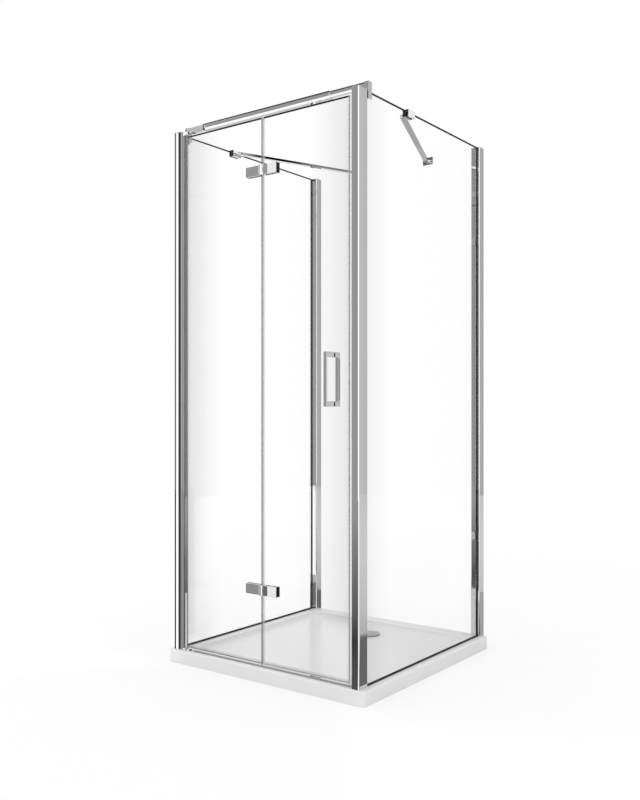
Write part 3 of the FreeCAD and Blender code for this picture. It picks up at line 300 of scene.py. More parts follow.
# %% Stand the grey cards
CARD_RADIUS = 7.0
CARD_HEIGHT = 20.0
CARD_SIDES = 96
CARD_GREYS = (  # degrees from +X, grey level
    (-180, 0.05), (-170, 0.05), (-162, 1.3), (-134.7, 1.3), (-134.2, 0.36), (-128, 0.37),
    (-118, 0.36), (-116, 0.36), (-114, 0.19), (-100, 0.19), (-98.5, 0.05), (-91, 0.05),
    (-85, 0.30), (-74, 1.3), (-2, 1.3), (4, 0.60), (5.7, 0.0), (9.6, 0.0), (11.0, 0.28),
    (14.5, 0.26), (16, 0.36), (32, 0.70), (50.2, 0.70), (51.0, 0.57), (60, 0.48), (90, 0.50),
    (103, 0.42), (119, 0.50), (124, 0.92), (170, 0.92), (174, 0.05), (180, 0.05))
HIGH_GREY = 0.08
HIGH_FROM = 7.0
FRONT_MAT_GREYS = (  # metres from the middle of the tray, grey level
    (0.0, 0.08), (0.75, 0.09), (1.1, 0.05), (1.55, 0.13), (3.2, 0.24), (5.0, 0.34), (7.0, 0.36))
BACK_MAT_GREYS = (
    (0.0, 0.15), (0.95, 0.16), (1.0, 0.52), (1.4, 0.62), (3.0, 0.72), (7.0, 0.66))
FRONT_MAT_EDGE = -0.47
PALE_SECTORS = (
    (-180, 0.0), (-165, 0.0), (-160, 1.3), (-131.5, 1.3), (-129.5, 0.0), (-54, 0.0), (-50, 1.3),
    (0, 1.3), (5, 0.0), (180, 0.0))
DARK_SECTOR = ((-180, 1.0), (103, 1.0), (106, 0.42), (121, 0.42), (124, 1.0), (180, 1.0))


def for_mirrors_only(card):
    card.visible_camera = False
    card.visible_diffuse = False
    card.visible_transmission = False
    card.visible_shadow = False
    card.visible_volume_scatter = False


def card_finish(name, level_of):
    finish = Finish(name)
    glow = finish.node("ShaderNodeEmission", sockets={"Color": level_of(finish), "Strength": 1.0})
    return finish.finish(glow)


def round_the_compass(finish, greys=CARD_GREYS):
    turn = finish.along("Y").math("ARCTAN2", finish.along("X")) / math.tau + 0.5
    stops = [(degrees / 360 + 0.5, level) for degrees, level in greys]
    return finish.node("ShaderNodeValToRGB", {"stops": stops}, {"Fac": turn})


def ring_level(finish):
    """Grey by the compass, and dark all round above the height that flat faces mirror."""
    return finish.blend(finish.along("Z") > HIGH_FROM, round_the_compass(finish), grey(HIGH_GREY))


def out_from_the_tray(finish):
    """Grey by the distance, with pale sectors before the door and a dark one behind it."""
    reach = finish.distance() / CARD_RADIUS

    def by_distance(greys):
        stops = [(spot / CARD_RADIUS, level) for spot, level in greys]
        return finish.node("ShaderNodeValToRGB", {"stops": stops}, {"Fac": reach})

    front = finish.blend(1.0, by_distance(FRONT_MAT_GREYS),
                         round_the_compass(finish, PALE_SECTORS), "LIGHTEN")
    back = finish.blend(1.0, by_distance(BACK_MAT_GREYS),
                        round_the_compass(finish, DARK_SECTOR), "DARKEN")
    return finish.blend(finish.along("Y") < FRONT_MAT_EDGE, back, front)


bpy.ops.object.select_all(action="DESELECT")
bpy.ops.mesh.primitive_cylinder_add(
    vertices=CARD_SIDES, radius=CARD_RADIUS, depth=CARD_HEIGHT, end_fill_type="NOTHING",
    location=(0, 0, CARD_HEIGHT / 2))
ring = bpy.context.object
ring.name = "card_ring"
bpy.ops.object.transform_apply(location=True)
ring.data.materials.append(card_finish("card_ring", ring_level))
bpy.ops.mesh.primitive_circle_add(
    vertices=CARD_SIDES, radius=CARD_RADIUS, fill_type="NGON", location=(0, 0, 0))
mat = bpy.context.object
mat.name = "card_mat"
mat.data.materials.append(card_finish("card_mat", out_from_the_tray))
for card in (ring, mat):
    for_mirrors_only(card)
print("cards at", CARD_RADIUS, "m")

# %% [markdown]
# Some small faces in the photograph are much brighter or darker than their neighbours, because
# they mirror a slim card of their own. Such a card stands where the line of sight goes after it
# meets the face, so its place follows from the eye, the face and a mirror sum. It is kept near
# its face, so that few other faces mirror it too, and it stands upright unless the table gives
# another way to face.

# %% Stand the slim cards
SLIM_CARDS = (  # name, spot on the face in mm, its normal, distance, width and height in m, level
    ("upper_hinge_pale", (52, -436.5, 1818), (0, -1, 0), 0.08, 0.034, 0.046, 1.0),
    ("lower_hinge_pale", (52, -436.5, 325), (0, -1, 0), 0.08, 0.034, 0.046, 1.0),
    ("lower_hinge_grey", (-40, -436.5, 325), (0, -1, 0), 0.08, 0.060, 0.046, 0.32),
    ("upper_hinge_dark", (71, -433, 1818), (1, 0, 0), 0.08, 0.02, 0.046, 0.01),
    ("lower_hinge_dark", (71, -433, 325), (1, 0, 0), 0.08, 0.02, 0.046, 0.01),
    ("right_clamp_dark", (416, -135, 2017), (0, -1, 0), 0.25, 0.032, 0.036, 0.01),
    ("left_clamp_dark", (-416, -135, 2017), (0, -1, 0), 0.25, 0.032, 0.036, 0.01),
    ("right_clamp_pale", (428, -112, 2017), (1, 0, 0), 0.25, 0.055, 0.036, 1.0),
    ("left_clamp_pale", (-404, -112, 2017), (1, 0, 0), 0.25, 0.055, 0.036, 1.0),
    ("right_flange_dark", (174, 444, 2016), (0, -1, 0), 0.06, 0.055, 0.050, 0.13),
    ("left_rod_pale", (-365, -388, 2045), (0, -1, 0), 0.25, 0.080, 0.030, 0.59),
    ("left_holder_grey", (-417, -388, 2030), (0, -1, 0), 0.25, 0.024, 0.070, 0.34),
    ("post_foot_left", (-424.5, -442.2, 345), (0.335, -0.942, 0), 0.05, 0.009, 0.64, 0.05),
    ("post_foot_pale", (-415, -441.2, 345), (0, -1, 0), 0.05, 0.015, 0.64, 1.3),
    ("post_foot_dark", (-404.5, -439.5, 345), (0.358, -0.934, 0), 0.05, 0.011, 0.64, 0.05),
    ("jamb_foot_grey", (-391, -436, 345), (0.139, -0.990, 0), 0.06, 0.012, 0.64, 0.31),
    ("pivot_foot_pale", (-376, -432, 160), (0.269, -0.963, 0), 0.05, 0.011, 0.22, 0.64),
    ("wall_foot_pale", (431, 432, 130), (1, 0, 0), 0.05, 0.04, 0.2, 0.42),
    ("outer_bar_pale", (315, -465, 1068), (1, 0, 0), 0.025, 0.014, 0.15, 0.95),
    ("inner_bar_grey", (315, -397, 1068), (1, 0, 0), 0.04, 0.016, 0.14, 0.34),
    ("bar_foot_pale", (36, -387, 2037), (0, -6.5, -5), 0.04, 0.72, 0.024, 1.2, (0, -0.27, -0.96)),
)


def stand_slim_card(name, spot, normal, distance, width, height, level, facing=None):
    spot = Vector(spot) * MM
    sight = (spot - EYE).normalized().reflect(Vector(normal).normalized())
    turn = Vector(facing or (sight.x, sight.y, 0)).to_track_quat("Z", "Y").to_euler()
    bpy.ops.object.select_all(action="DESELECT")
    bpy.ops.mesh.primitive_plane_add(size=1, location=spot + distance * sight, rotation=turn)
    card = bpy.context.object
    card.name = name
    card.scale = (width, height, 1)
    card.data.materials.append(card_finish(name, lambda finish: grey(level)))
    for_mirrors_only(card)


for slim_card in SLIM_CARDS:
    stand_slim_card(*slim_card)
print("slim cards:", len(SLIM_CARDS))

# %% [markdown]
# ## Metal finishes
#
# The profiles are bright anodised extrusions: smooth, with faint lines along their length from
# the die. The small fittings are chrome plate over cast metal, smoother and a little brighter.

# %% Mix the metals
def polished_aluminium():
    finish = Finish("polished_aluminium")
    die_lines = finish.noise(900, 1.0, (1, 1, 0.004))
    cloud = finish.noise(6, 3.0)
    return finish.finish(finish.principled(
        Base_Color=finish.blend(cloud, grey(0.78, 0.006), grey(0.82, 0.008)),
        Metallic=1.0,
        Roughness=0.015 + 0.02 * die_lines,
        Normal=finish.bump(die_lines, 0.02, 0.02 * MM)))


def chrome():
    finish = Finish("chrome")
    cloud = finish.noise(25, 3.0)
    return finish.finish(finish.principled(
        Base_Color=finish.blend(cloud, grey(0.80, 0.008), grey(0.84, 0.01)),
        Metallic=1.0,
        Roughness=0.02 + 0.02 * cloud))


def screw_steel():
    finish = Finish("screw_steel")
    turning = finish.noise(1500, 2.0)
    return finish.finish(finish.principled(
        Base_Color=finish.blend(turning, grey(0.55), grey(0.66, 0.01)),
        Metallic=1.0,
        Roughness=0.2 + 0.12 * turning,
        Normal=finish.bump(turning, 0.15, 0.05 * MM)))


finishes = {make.__name__: make() for make in (polished_aluminium, chrome, screw_steel)}
print("metals:", sorted(finishes))

# %% [markdown]
# ## Acrylic, plastic and rubber
#
# The tray is cast acrylic: satin, faintly uneven under raking light. The gaskets are black
# rubber with a fine grain, and the small bearings are grey moulded plastic.

# %% Mix the mouldings
def tray_white():
    finish = Finish("tray_white")
    ripple = finish.noise(38, 2.0)
    cloud = finish.noise(3, 2.0)
    return finish.finish(finish.principled(
        Base_Color=finish.blend(cloud, grey(0.80), grey(0.83)),
        Roughness=0.26 + 0.08 * ripple,
        Coat_Weight=0.2,
        Coat_Roughness=0.12,
        Normal=finish.bump(ripple, 0.05, 0.3 * MM)))


def dark_rubber():
    finish = Finish("dark_rubber")
    grain = finish.noise(2200, 3.0)
    return finish.finish(finish.principled(
        Base_Color=finish.blend(grain, grey(0.018), grey(0.035)),
        Roughness=0.55 + 0.2 * grain,
        Normal=finish.bump(grain, 0.2, 0.1 * MM)))


def grey_plastic():
    finish = Finish("grey_plastic")
    grain = finish.noise(1400, 2.0)
    return finish.finish(finish.principled(
        Base_Color=finish.blend(grain, grey(0.46), grey(0.53)),
        Roughness=0.35 + 0.15 * grain,
        Normal=finish.bump(grain, 0.12, 0.1 * MM)))


finishes.update({make.__name__: make() for make in (tray_white, dark_rubber, grey_plastic)})
print("mouldings:", sorted(set(finishes) - {"polished_aluminium", "chrome", "screw_steel"}))

# %% [markdown]
# ## Glass and clear strips
#
# A clear pane hardly shows except at its rim, where one looks along the glass and it turns dark.
# A refracting shader would also stop the lamps and the mirrors behind the pane, and a flat pane
# bends nothing anyway. So its faces are a thin mirror that is nearly all see-through: Alpha is
# the share that mirrors, and it grows a little towards the metal, where a grey painted shade
# darkens the glass. On the door this painted shade ends above the tray, whose floor stays clear.
# A mask on the normal gives the ground edges their own finish, with a grey set pane by pane as
# painted light and shade, and a painted dark band along the top of each pane and the foot of the
# side panes. The strips are drawn plastic, clear with faint lines along them. The one in the fold
# has a dense bulb, and those under the door have a darker seam over the lip that wipes the
# threshold.

# %% Mix the glass
# Painted shade on the glass near the metal: how far it reaches, and over what height it fades in
# above its foot.
PAINTED_SHADE_REACH = 0.17
PAINTED_SHADE_FADE = 0.06
# Heights of the painted dark band: along the top of every pane, and along the foot of the side
# panes.
TOP_SHADE_BAND = 4.5 * MM
FOOT_SHADE_BAND = 2.5 * MM
SEAM_HEIGHTS = (2.8 * MM, 5.4 * MM)
MIRROR_INDEX = 1.2
MIRROR_SHARE = 0.5
# How strongly the painted shade turns the glass's grey dark.
PAINTED_SHADE_DEEPENS = 9.0
BULB_END = -0.8 * MM


def clear_glass(name, axis, across, painted_shade_depths, painted_shade_foot, edge_grey_with_painted_light):
    """The glass of one pane, with its rim, painted shade near the metal and a painted dark band.
    """
    low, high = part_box(name)
    finish = Finish(f"glass_{name}")
    spot = finish.along(across)
    place = "XYZ".index(across)
    shade = 0.0
    # Painted shade: the glass darkens towards its low and high edge, where the metal stands.
    for edge, depth in zip((low[place], high[place]), painted_shade_depths):
        shade = shade + (1 - (abs(spot - edge) / PAINTED_SHADE_REACH).math("MINIMUM", 1.0)) * depth
    # The painted shade fades in above its foot, so the tray's floor seen through the door stays
    # clear.
    risen = ((finish.along("Z") - painted_shade_foot) / PAINTED_SHADE_FADE).math("MAXIMUM", 0.0)
    shade = shade * risen.math("MINIMUM", 1.0)
    outside = 1 - finish.node("ShaderNodeNewGeometry", output="Backfacing")
    mirror = outside * finish.node("ShaderNodeFresnel", sockets={"IOR": MIRROR_INDEX})
    # The painted shade also turns the pane's mirror colour from pale grey to dark grey.
    deepened = (shade * PAINTED_SHADE_DEEPENS).math("MINIMUM", 1.0)
    pane = finish.principled(
        Base_Color=finish.blend(deepened, grey(0.9), grey(0.16)),
        Metallic=1.0, Roughness=0.0, Alpha=MIRROR_SHARE * mirror + shade)
    ground = finish.noise(1800, 2.0)
    height = finish.along("Z")
    # Painted dark band: along the top of every pane, and along the foot of the side panes, which
    # stand in a dark seal.
    foot_shade_band = FOOT_SHADE_BAND if axis == "X" else 0.0  # only the side panes stand in a dark seal
    painted_dark_band = (height > high.z - TOP_SHADE_BAND).math("MAXIMUM", height < low.z + foot_shade_band)
    # The ground edges' grey is the glass's own, set brighter or darker pane by pane as painted
    # light and shade.
    ground_edge = finish.blend(ground, grey(0.9 * edge_grey_with_painted_light), grey(1.1 * edge_grey_with_painted_light))
    # The near-black grey of the painted dark band.
    painted_dark_grey = finish.blend(ground, grey(0.008), grey(0.02))
    rim = finish.principled(
        Base_Color=finish.blend(painted_dark_band, ground_edge, painted_dark_grey), Roughness=0.2 + 0.1 * ground)
    on_rim = (finish.facing(axis) < 0.5).math("MAXIMUM", painted_dark_band)
    return finish.finish(finish.node("ShaderNodeMixShader", sockets={0: on_rim, 1: pane, 2: rim}))


# The axis the faces look along, the axis across, the painted shade at the low and the high edge,
# the height in metres where the painted shade ends, and the grey of the ground edges, which is
# painted light and shade as well as the glass's own grey.
PANES = {
    "left_leaf_glass": ("Y", "X", (0.11, 0.0), 0.06, 0.15),
    "right_leaf_glass": ("Y", "X", (0.0, 0.11), 0.22, 0.56),
    "left_side_glass": ("X", "Y", (0.085, 0.03), 0.0, 0.40),
    "right_side_glass": ("X", "Y", (0.085, 0.03), 0.0, 0.40),
}


def clear_strip(name, veil, lines=(1, 1, 0.01), core_of=None, core_grey=0.0, core_veil=0.0):
    """A clear strip with faint lines along it, darker and denser in its core."""
    finish = Finish(name)
    drawn = finish.noise(600, 2.0, lines)
    body = finish.blend(drawn, grey(0.50), grey(0.58, 0.006))
    cover = veil[0] + veil[1] * drawn
    if core_of:
        core = core_of(finish)
        body = finish.blend(core, body, grey(core_grey))
        cover = cover + core_veil * core
    return finish.finish(finish.principled(
        Base_Color=body, Roughness=0.10 + 0.08 * drawn, Alpha=cover))


def bulb(finish):
    """The bulb between the panes, beside the clear lips on the right one."""
    return finish.along("X") < BULB_END


def seam(finish):
    """The seam a little above the foot of the strips under the door."""
    above_foot = finish.along("Z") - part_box("left_drip_seal")[0].z
    return (above_foot > SEAM_HEIGHTS[0]) * (above_foot < SEAM_HEIGHTS[1])


finishes["clear_seal"] = clear_strip("clear_seal", (0.16, 0.08))
glass = {name: clear_glass(name, *how) for name, how in PANES.items()}
print("panes:", sorted(glass))

# %% [markdown]
# ## Dress the solids
#
# Each solid came in with the name of its material slot. The slot picks its finish; glass also
# needs to know which way the pane faces. The cover of the drain is the one brushed piece.

# %% Give each solid its finish
def satin_steel():
    finish = Finish("satin_steel")
    brushing = finish.noise(700, 2.0, (0.05, 1, 1))
    return finish.finish(finish.principled(
        Base_Color=finish.blend(brushing, grey(0.50), grey(0.58, 0.006)),
        Metallic=0.6,
        Roughness=0.36 + 0.14 * brushing,
        Normal=finish.bump(brushing, 0.1, 0.05 * MM)))


finishes["satin_steel"] = satin_steel()
slot_of = {name: solid.data.materials[0].name for name, solid in nodes.items()}
bodies = frame["record"]["behaviour"]["bodies"]
body_of = {name: body for body, names in bodies.items() for name in names}
finish_of = {name: glass.get(name) or finishes[slot] for name, slot in slot_of.items()}
finish_of["drain_cover"] = finishes["satin_steel"]
finish_of["pivot_gaskets"] = finishes["clear_seal"]
finish_of["fold_seal"] = clear_strip(
    "fold_strip", (0.08, 0.04), core_of=bulb, core_grey=0.20, core_veil=0.50)
finish_of["left_drip_seal"] = finish_of["right_drip_seal"] = clear_strip(
    "drip_strip", (0.06, 0.04), (0.01, 1, 1), core_of=seam, core_grey=0.16, core_veil=0.30)
for name, solid in nodes.items():
    solid.data.materials[0] = finish_of[name]
print("dressed", len(nodes), "solids")

# %% [markdown]
# ## Tools for modelling
#
# A few helpers keep the next cells short: one opens a piece for editing, one picks its faces,
# edges or corners by a test on each, and one rounds every sharp edge. Real metal has no
# perfectly sharp edge, and the thin bright line along a rounded one is what makes it look like
# metal. Weighted normals keep the broad faces flat beside their rounded edges, which matters
# most on a mirror.

# %% Open, pick, soften and settle
SOFT_ANGLE = math.radians(30)
PROFILE_ANGLE = math.radians(12)


def choose(piece):
    bpy.ops.object.select_all(action="DESELECT")
    piece.select_set(True)
    bpy.context.view_layer.objects.active = piece


@contextlib.contextmanager
def editing(piece):
    choose(piece)
    bpy.ops.object.mode_set(mode="EDIT")
    yield
    bpy.ops.object.mode_set(mode="OBJECT")


def pick(kind, wanted):
    """Select the faces, edges or corners that pass a test."""
    bpy.ops.mesh.select_mode(type=kind)
    bpy.ops.mesh.select_all(action="DESELECT")
    shape = bmesh.from_edit_mesh(bpy.context.object.data)
    for element in {"FACE": shape.faces, "EDGE": shape.edges, "VERT": shape.verts}[kind]:
        element.select = bool(wanted(element))
    shape.select_flush_mode()
    bmesh.update_edit_mesh(bpy.context.object.data)


def middle(edge):
    return (edge.verts[0].co + edge.verts[1].co) / 2


def soften(piece, width, segments=2, angle=SOFT_ANGLE):
    """Round the edges sharper than an angle, by a width in millimetres, and shade the rest."""
    choose(piece)
    if width:
        bpy.ops.object.modifier_add(type="BEVEL")
        bevel = piece.modifiers[-1]
        bevel.width = width * MM
        bevel.segments = segments
        bevel.limit_method = "ANGLE"
        bevel.angle_limit = angle
        bpy.ops.object.modifier_apply(modifier=bevel.name)
    bpy.ops.object.shade_smooth_by_angle(angle=angle)
    bpy.ops.object.modifier_add(type="WEIGHTED_NORMAL")
    piece.modifiers[-1].keep_sharp = True
    bpy.ops.object.modifier_apply(modifier=piece.modifiers[-1].name)


def settle(piece, *stands_for):
    """Let a piece ride where its solids ride, with their finish, in their stead."""
    first = stands_for[0]
    assert piece.data.polygons, f"{piece.name} has no faces"
    piece.data.materials.clear()
    piece.data.materials.append(finish_of[first])
    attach(piece, body_of[first])
    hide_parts(*stands_for)
    print(piece.name, len(piece.data.polygons), "faces for", ", ".join(stands_for))


print("modelling helpers ready")

# %% [markdown]
# ## Extruded profiles
#
# Posts, jamb, wall profiles, bar and beads are extrusions: one outline, drawn once and pulled to
# length, just as the press makes them. A plane is merged to a single corner, that corner is
# extruded along the outline, the loop is filled, and the face is pulled up.

# %% Trace an outline and pull it up
CLOSE_GAP = 0.01 * MM


def extrusion(name, outline, low, high, axis="Z"):
    """An outline in millimetres, pulled up along Z, or along X where it is drawn in Y and Z."""
    def spot(pair):
        return Vector((*pair, low) if axis == "Z" else (low, *pair)) * MM

    points = [spot(pair) for pair in outline]
    bpy.ops.object.select_all(action="DESELECT")
    bpy.ops.mesh.primitive_plane_add(size=1, location=(0, 0, 0))
    piece = bpy.context.object
    piece.name = name
    with editing(piece):
        bpy.ops.mesh.select_mode(type="VERT")
        bpy.ops.mesh.select_all(action="SELECT")
        bpy.ops.mesh.merge(type="CENTER")
        bpy.ops.transform.translate(value=points[0])
        for start, end in zip(points, points[1:] + points[:1]):
            bpy.ops.mesh.extrude_vertices_move(TRANSFORM_OT_translate={"value": end - start})
        bpy.ops.mesh.select_all(action="SELECT")
        bpy.ops.mesh.remove_doubles(threshold=CLOSE_GAP)
        bpy.ops.mesh.edge_face_add()
        pull = (high - low) * MM
        bpy.ops.mesh.extrude_region_move(
            TRANSFORM_OT_translate={"value": (0, 0, pull) if axis == "Z" else (pull, 0, 0)})
        bpy.ops.mesh.select_all(action="SELECT")
        bpy.ops.mesh.normals_make_consistent(inside=False)
    return piece


def mirrored(outline):
    return [(-x, y) for x, y in reversed(outline)]


print("extrusion helper ready")

# %% [markdown]
# The posts hold the side glass in a slot behind and close the front with a flat face. The right
# post has a well rounded outer corner, which catches one bright line from top to bottom. The
# left post carries the door, and its front steps down towards it in two slopes with a polished
# flat between, so that it shows a dark line, a bright band and a dark band. Its inner corner
# behind the jamb is cut off.

# %% Pull the corner posts
POST_LOW, POST_HIGH, CAP_HIGH = 50, 2025, 2027
SLOT = [(413.9, -393), (413.9, -412.6), (423.1, -412.6), (423.1, -393)]
RIGHT_FRONT = [(425, -393), (425, -443), (397, -443), (397, -393)]
LEFT_FRONT = [(-410, -393), (-397, -406), (-397, -437.3), (-400, -437.75), (-409, -441.2),
              (-421.5, -441.2), (-427.5, -443.3), (-427.5, -393)]
OUTER_CORNER = RIGHT_FRONT[1]
CORNER_ROUND = 7
CORNER_SEGMENTS = 10
CORNER_GAP, UPRIGHT_RISE = 0.1 * MM, 1 * MM
FINE_ROUND = 0.5


def round_corner(piece, x, y, radius):
    """Round the upright edge at one corner of the outline."""
    corner = Vector((x, y)) * MM

    def stands_there(edge):
        rise = abs(edge.verts[0].co.z - edge.verts[1].co.z)
        return (middle(edge).xy - corner).length < CORNER_GAP and rise > UPRIGHT_RISE

    with editing(piece):
        pick("EDGE", stands_there)
        bpy.ops.mesh.bevel(offset=radius * MM, segments=CORNER_SEGMENTS, affect="EDGES")


right_post = extrusion("right_post", RIGHT_FRONT + SLOT, POST_LOW, POST_HIGH)
left_post = extrusion("left_post", LEFT_FRONT + mirrored(SLOT), POST_LOW, POST_HIGH)
round_corner(right_post, *OUTER_CORNER, CORNER_ROUND)
for post, node in ((right_post, "right_corner_post"), (left_post, "left_corner_post")):
    soften(post, FINE_ROUND, angle=PROFILE_ANGLE)
    settle(post, node)

# %% [markdown]
# Each post ends in a cap of the same outline, pressed in from above. Its upper edge is rounded
# more than the post's own edges, because fingers meet it.

# %% Cap the posts
CAP_ROUND = 0.8
right_cap = extrusion("right_post_cap", RIGHT_FRONT, POST_HIGH, CAP_HIGH)
left_cap = extrusion("left_post_cap", LEFT_FRONT, POST_HIGH, CAP_HIGH)
round_corner(right_cap, *OUTER_CORNER, CORNER_ROUND)
for cap in (right_cap, left_cap):
    soften(cap, CAP_ROUND, segments=3, angle=PROFILE_ANGLE)
    settle(cap, "post_caps")

# %% [markdown]
# The jamb stands beside the left post. Its face falls away a little towards the door and ends in
# a thin lip, which covers the gap to the turning pivot profile without touching it.

# %% Pull the jamb
JAMB_FALL = math.tan(math.radians(8))
LIP_REACH, LIP_WALL = 4.5, 1.5
JAMB_RELIEF = 4
jamb_low, jamb_high = [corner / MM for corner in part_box("hinge_jamb")]
jamb_high.y -= JAMB_RELIEF
lip_end = jamb_high.x + LIP_REACH
fallen = jamb_low.y + (lip_end - jamb_low.x) * JAMB_FALL
jamb = extrusion("jamb_profile", [
    (jamb_high.x, jamb_high.y), (jamb_high.x, fallen + LIP_WALL), (lip_end, fallen + LIP_WALL),
    (lip_end, fallen), (jamb_low.x, jamb_low.y), (jamb_low.x, jamb_high.y)], POST_LOW, POST_HIGH)
soften(jamb, FINE_ROUND, angle=PROFILE_ANGLE)
settle(jamb, "hinge_jamb")

# %% [markdown]
# The wall profiles hold the rear edge of the side glass in the same way as the posts hold the
# front one. The slot is as wide as the gasket in it, and the front corners are rounded enough to
# catch a line of light.

# %% Pull the wall profiles
WALL_ROUND = 4.5


def wall_profile(side):
    low, high = [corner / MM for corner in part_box(f"{side}_wall_profile")]
    slot_low, slot_high = [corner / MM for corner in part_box(f"{side}_wall_gasket")]
    profile = extrusion(f"{side}_wall_channel", [
        (high.x, high.y), (low.x, high.y), (low.x, low.y), (slot_low.x, low.y),
        (slot_low.x, slot_high.y), (slot_high.x, slot_high.y), (slot_high.x, low.y),
        (high.x, low.y)], low.z, high.z)
    for x in (low.x, high.x):
        round_corner(profile, x, low.y, WALL_ROUND)
    soften(profile, FINE_ROUND, angle=PROFILE_ANGLE)
    settle(profile, f"{side}_wall_profile")


wall_profile("left")
wall_profile("right")

# %% [markdown]
# The pivot profile turns with the left pane. Its back is round about the pivot's axis, so that
# it keeps the same distance from the jamb at every angle, and its front lip reaches out over the
# glass and falls a little. The arc's corners are counted out before the outline is traced. Two
# small clear beads close the gap between the lips and the glass.

# %% Pull the pivot profile and its beads
PIVOT_AXIS = Vector((-380, -425))
PIVOT_ROUND = 8
PIVOT_NOSE, NOSE_FACE = 6.5, -5.4
BACK_LIP, BACK_FACE = 1.0, 5.2
ARC_START, ARC_END, ARC_STEPS = math.radians(95), math.radians(256), 16
PIVOT_ANGLE = math.radians(15)
PIVOT_EDGE = 0.3
BEAD = 1.4
GLASS_HALF = 3.0


def about_the_pivot(outline):
    return [tuple(PIVOT_AXIS + Vector(pair)) for pair in outline]


turns = [ARC_START + (ARC_END - ARC_START) * step / ARC_STEPS for step in range(ARC_STEPS + 1)]
arc = [(PIVOT_ROUND * math.cos(turn), PIVOT_ROUND * math.sin(turn)) for turn in turns]
nose = [(PIVOT_NOSE, NOSE_FACE), (PIVOT_NOSE, -GLASS_HALF), (BACK_LIP, -GLASS_HALF)]
pivot_low, pivot_high = [corner.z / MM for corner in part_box("pivot_profile")]
pivot = extrusion("pivot_stile", about_the_pivot([(BACK_LIP, BACK_FACE)] + arc + nose),
                  pivot_low, pivot_high)
soften(pivot, PIVOT_EDGE, angle=PIVOT_ANGLE)
settle(pivot, "pivot_profile")
for name, reach, side in (("pivot_front_bead", PIVOT_NOSE, -1), ("pivot_back_bead", BACK_LIP, 1)):
    near, far = side * GLASS_HALF, side * (GLASS_HALF + BEAD)
    bead = extrusion(name, about_the_pivot([
        (reach, near), (reach + BEAD, near), (reach + BEAD / 2, far), (reach, far)]),
        pivot_low, pivot_high)
    soften(bead, PIVOT_EDGE)
    settle(bead, "pivot_gaskets")

# %% [markdown]
# ## The bar over the door
#
# The bar is a square tube with its front edges taken off: a narrow slope above that mirrors the
# dark upper studio, and a broad one below that mirrors a white card. Both slopes follow the
# tube's own size, so the same few numbers serve the sleeve and the rods in it. The left rod has
# only its edges broken. A slim dark wiper closes the sleeve's left mouth.

# %% Pull the sleeve and its rods
# Each slope as shares of the tube's depth and height.
TOP_SLOPE = (0.09, 0.26)
FOOT_SLOPE = (0.21, 0.27)
BROKEN_EDGE = (0.09, 0.11)
BAR_ROUND = 0.4
WIPER_LENGTH, WIPER_RISE = 5.0, 1.4


def sloped_bar(name, node, top=TOP_SLOPE, foot=FOOT_SLOPE):
    low, high = [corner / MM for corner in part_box(node)]
    size = high - low
    outline = [
        (high.y, low.z), (high.y, high.z), (low.y + top[0] * size.y, high.z),
        (low.y, high.z - top[1] * size.z), (low.y, low.z + foot[1] * size.z),
        (low.y + foot[0] * size.y, low.z)]
    bar = extrusion(name, outline, low.x, high.x, axis="X")
    soften(bar, BAR_ROUND, angle=PROFILE_ANGLE)
    settle(bar, node)


sloped_bar("sleeve_tube", "stabiliser_sleeve")
sloped_bar("right_rod_tube", "right_stabiliser_rod")
sloped_bar("left_rod_tube", "left_stabiliser_rod", BROKEN_EDGE, BROKEN_EDGE)
rod_low, rod_high = [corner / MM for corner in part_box("left_stabiliser_rod")]
sleeve_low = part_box("stabiliser_sleeve")[0] / MM
front, back = rod_low.y - WIPER_RISE, rod_high.y + WIPER_RISE
foot, top = rod_low.z - WIPER_RISE, rod_high.z + WIPER_RISE
wiper = extrusion("sleeve_wiper", [(front, foot), (front, top), (back, top), (back, foot)],
                  sleeve_low.x - WIPER_LENGTH, sleeve_low.x, axis="X")
soften(wiper, BAR_ROUND)
wiper.data.materials.append(finishes["dark_rubber"])
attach(wiper, "enclosure")
print("sleeve_wiper", len(wiper.data.polygons), "faces")

# %% [markdown]
# ## Panes
#
# Toughened glass has its edges ground before it is heated, so every pane ends in a narrow
# chamfer. A cube at the pane's size gets it from a bevel. The pane is a hair smaller than its
# solid, so that its edge and the strip that grips it don't share a face.

# %% Grind the panes
ARRIS = 0.7
PANE_SLACK = Vector((0.15, 0.15, 0.15)) * MM


def ground_pane(node):
    low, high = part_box(node)
    low, high = low + PANE_SLACK, high - PANE_SLACK
    bpy.ops.object.select_all(action="DESELECT")
    bpy.ops.mesh.primitive_cube_add(size=1, location=(low + high) / 2, scale=high - low)
    pane = bpy.context.object
    pane.name = node.replace("glass", "pane")
    bpy.ops.object.transform_apply(location=True, rotation=True, scale=True)
    with editing(pane):
        bpy.ops.mesh.select_all(action="SELECT")
        bpy.ops.mesh.bevel(offset=ARRIS * MM, segments=1, affect="EDGES")
    settle(pane, node)


for node in PANES:
    ground_pane(node)

# %% [markdown]
# ## Softened solids
#
# The remaining fittings have the right shape already and only lack soft edges and smooth curves.
# A copy of each solid is merged, its flat triangles are dissolved into whole faces, and the
# bevel and the shading do the rest.

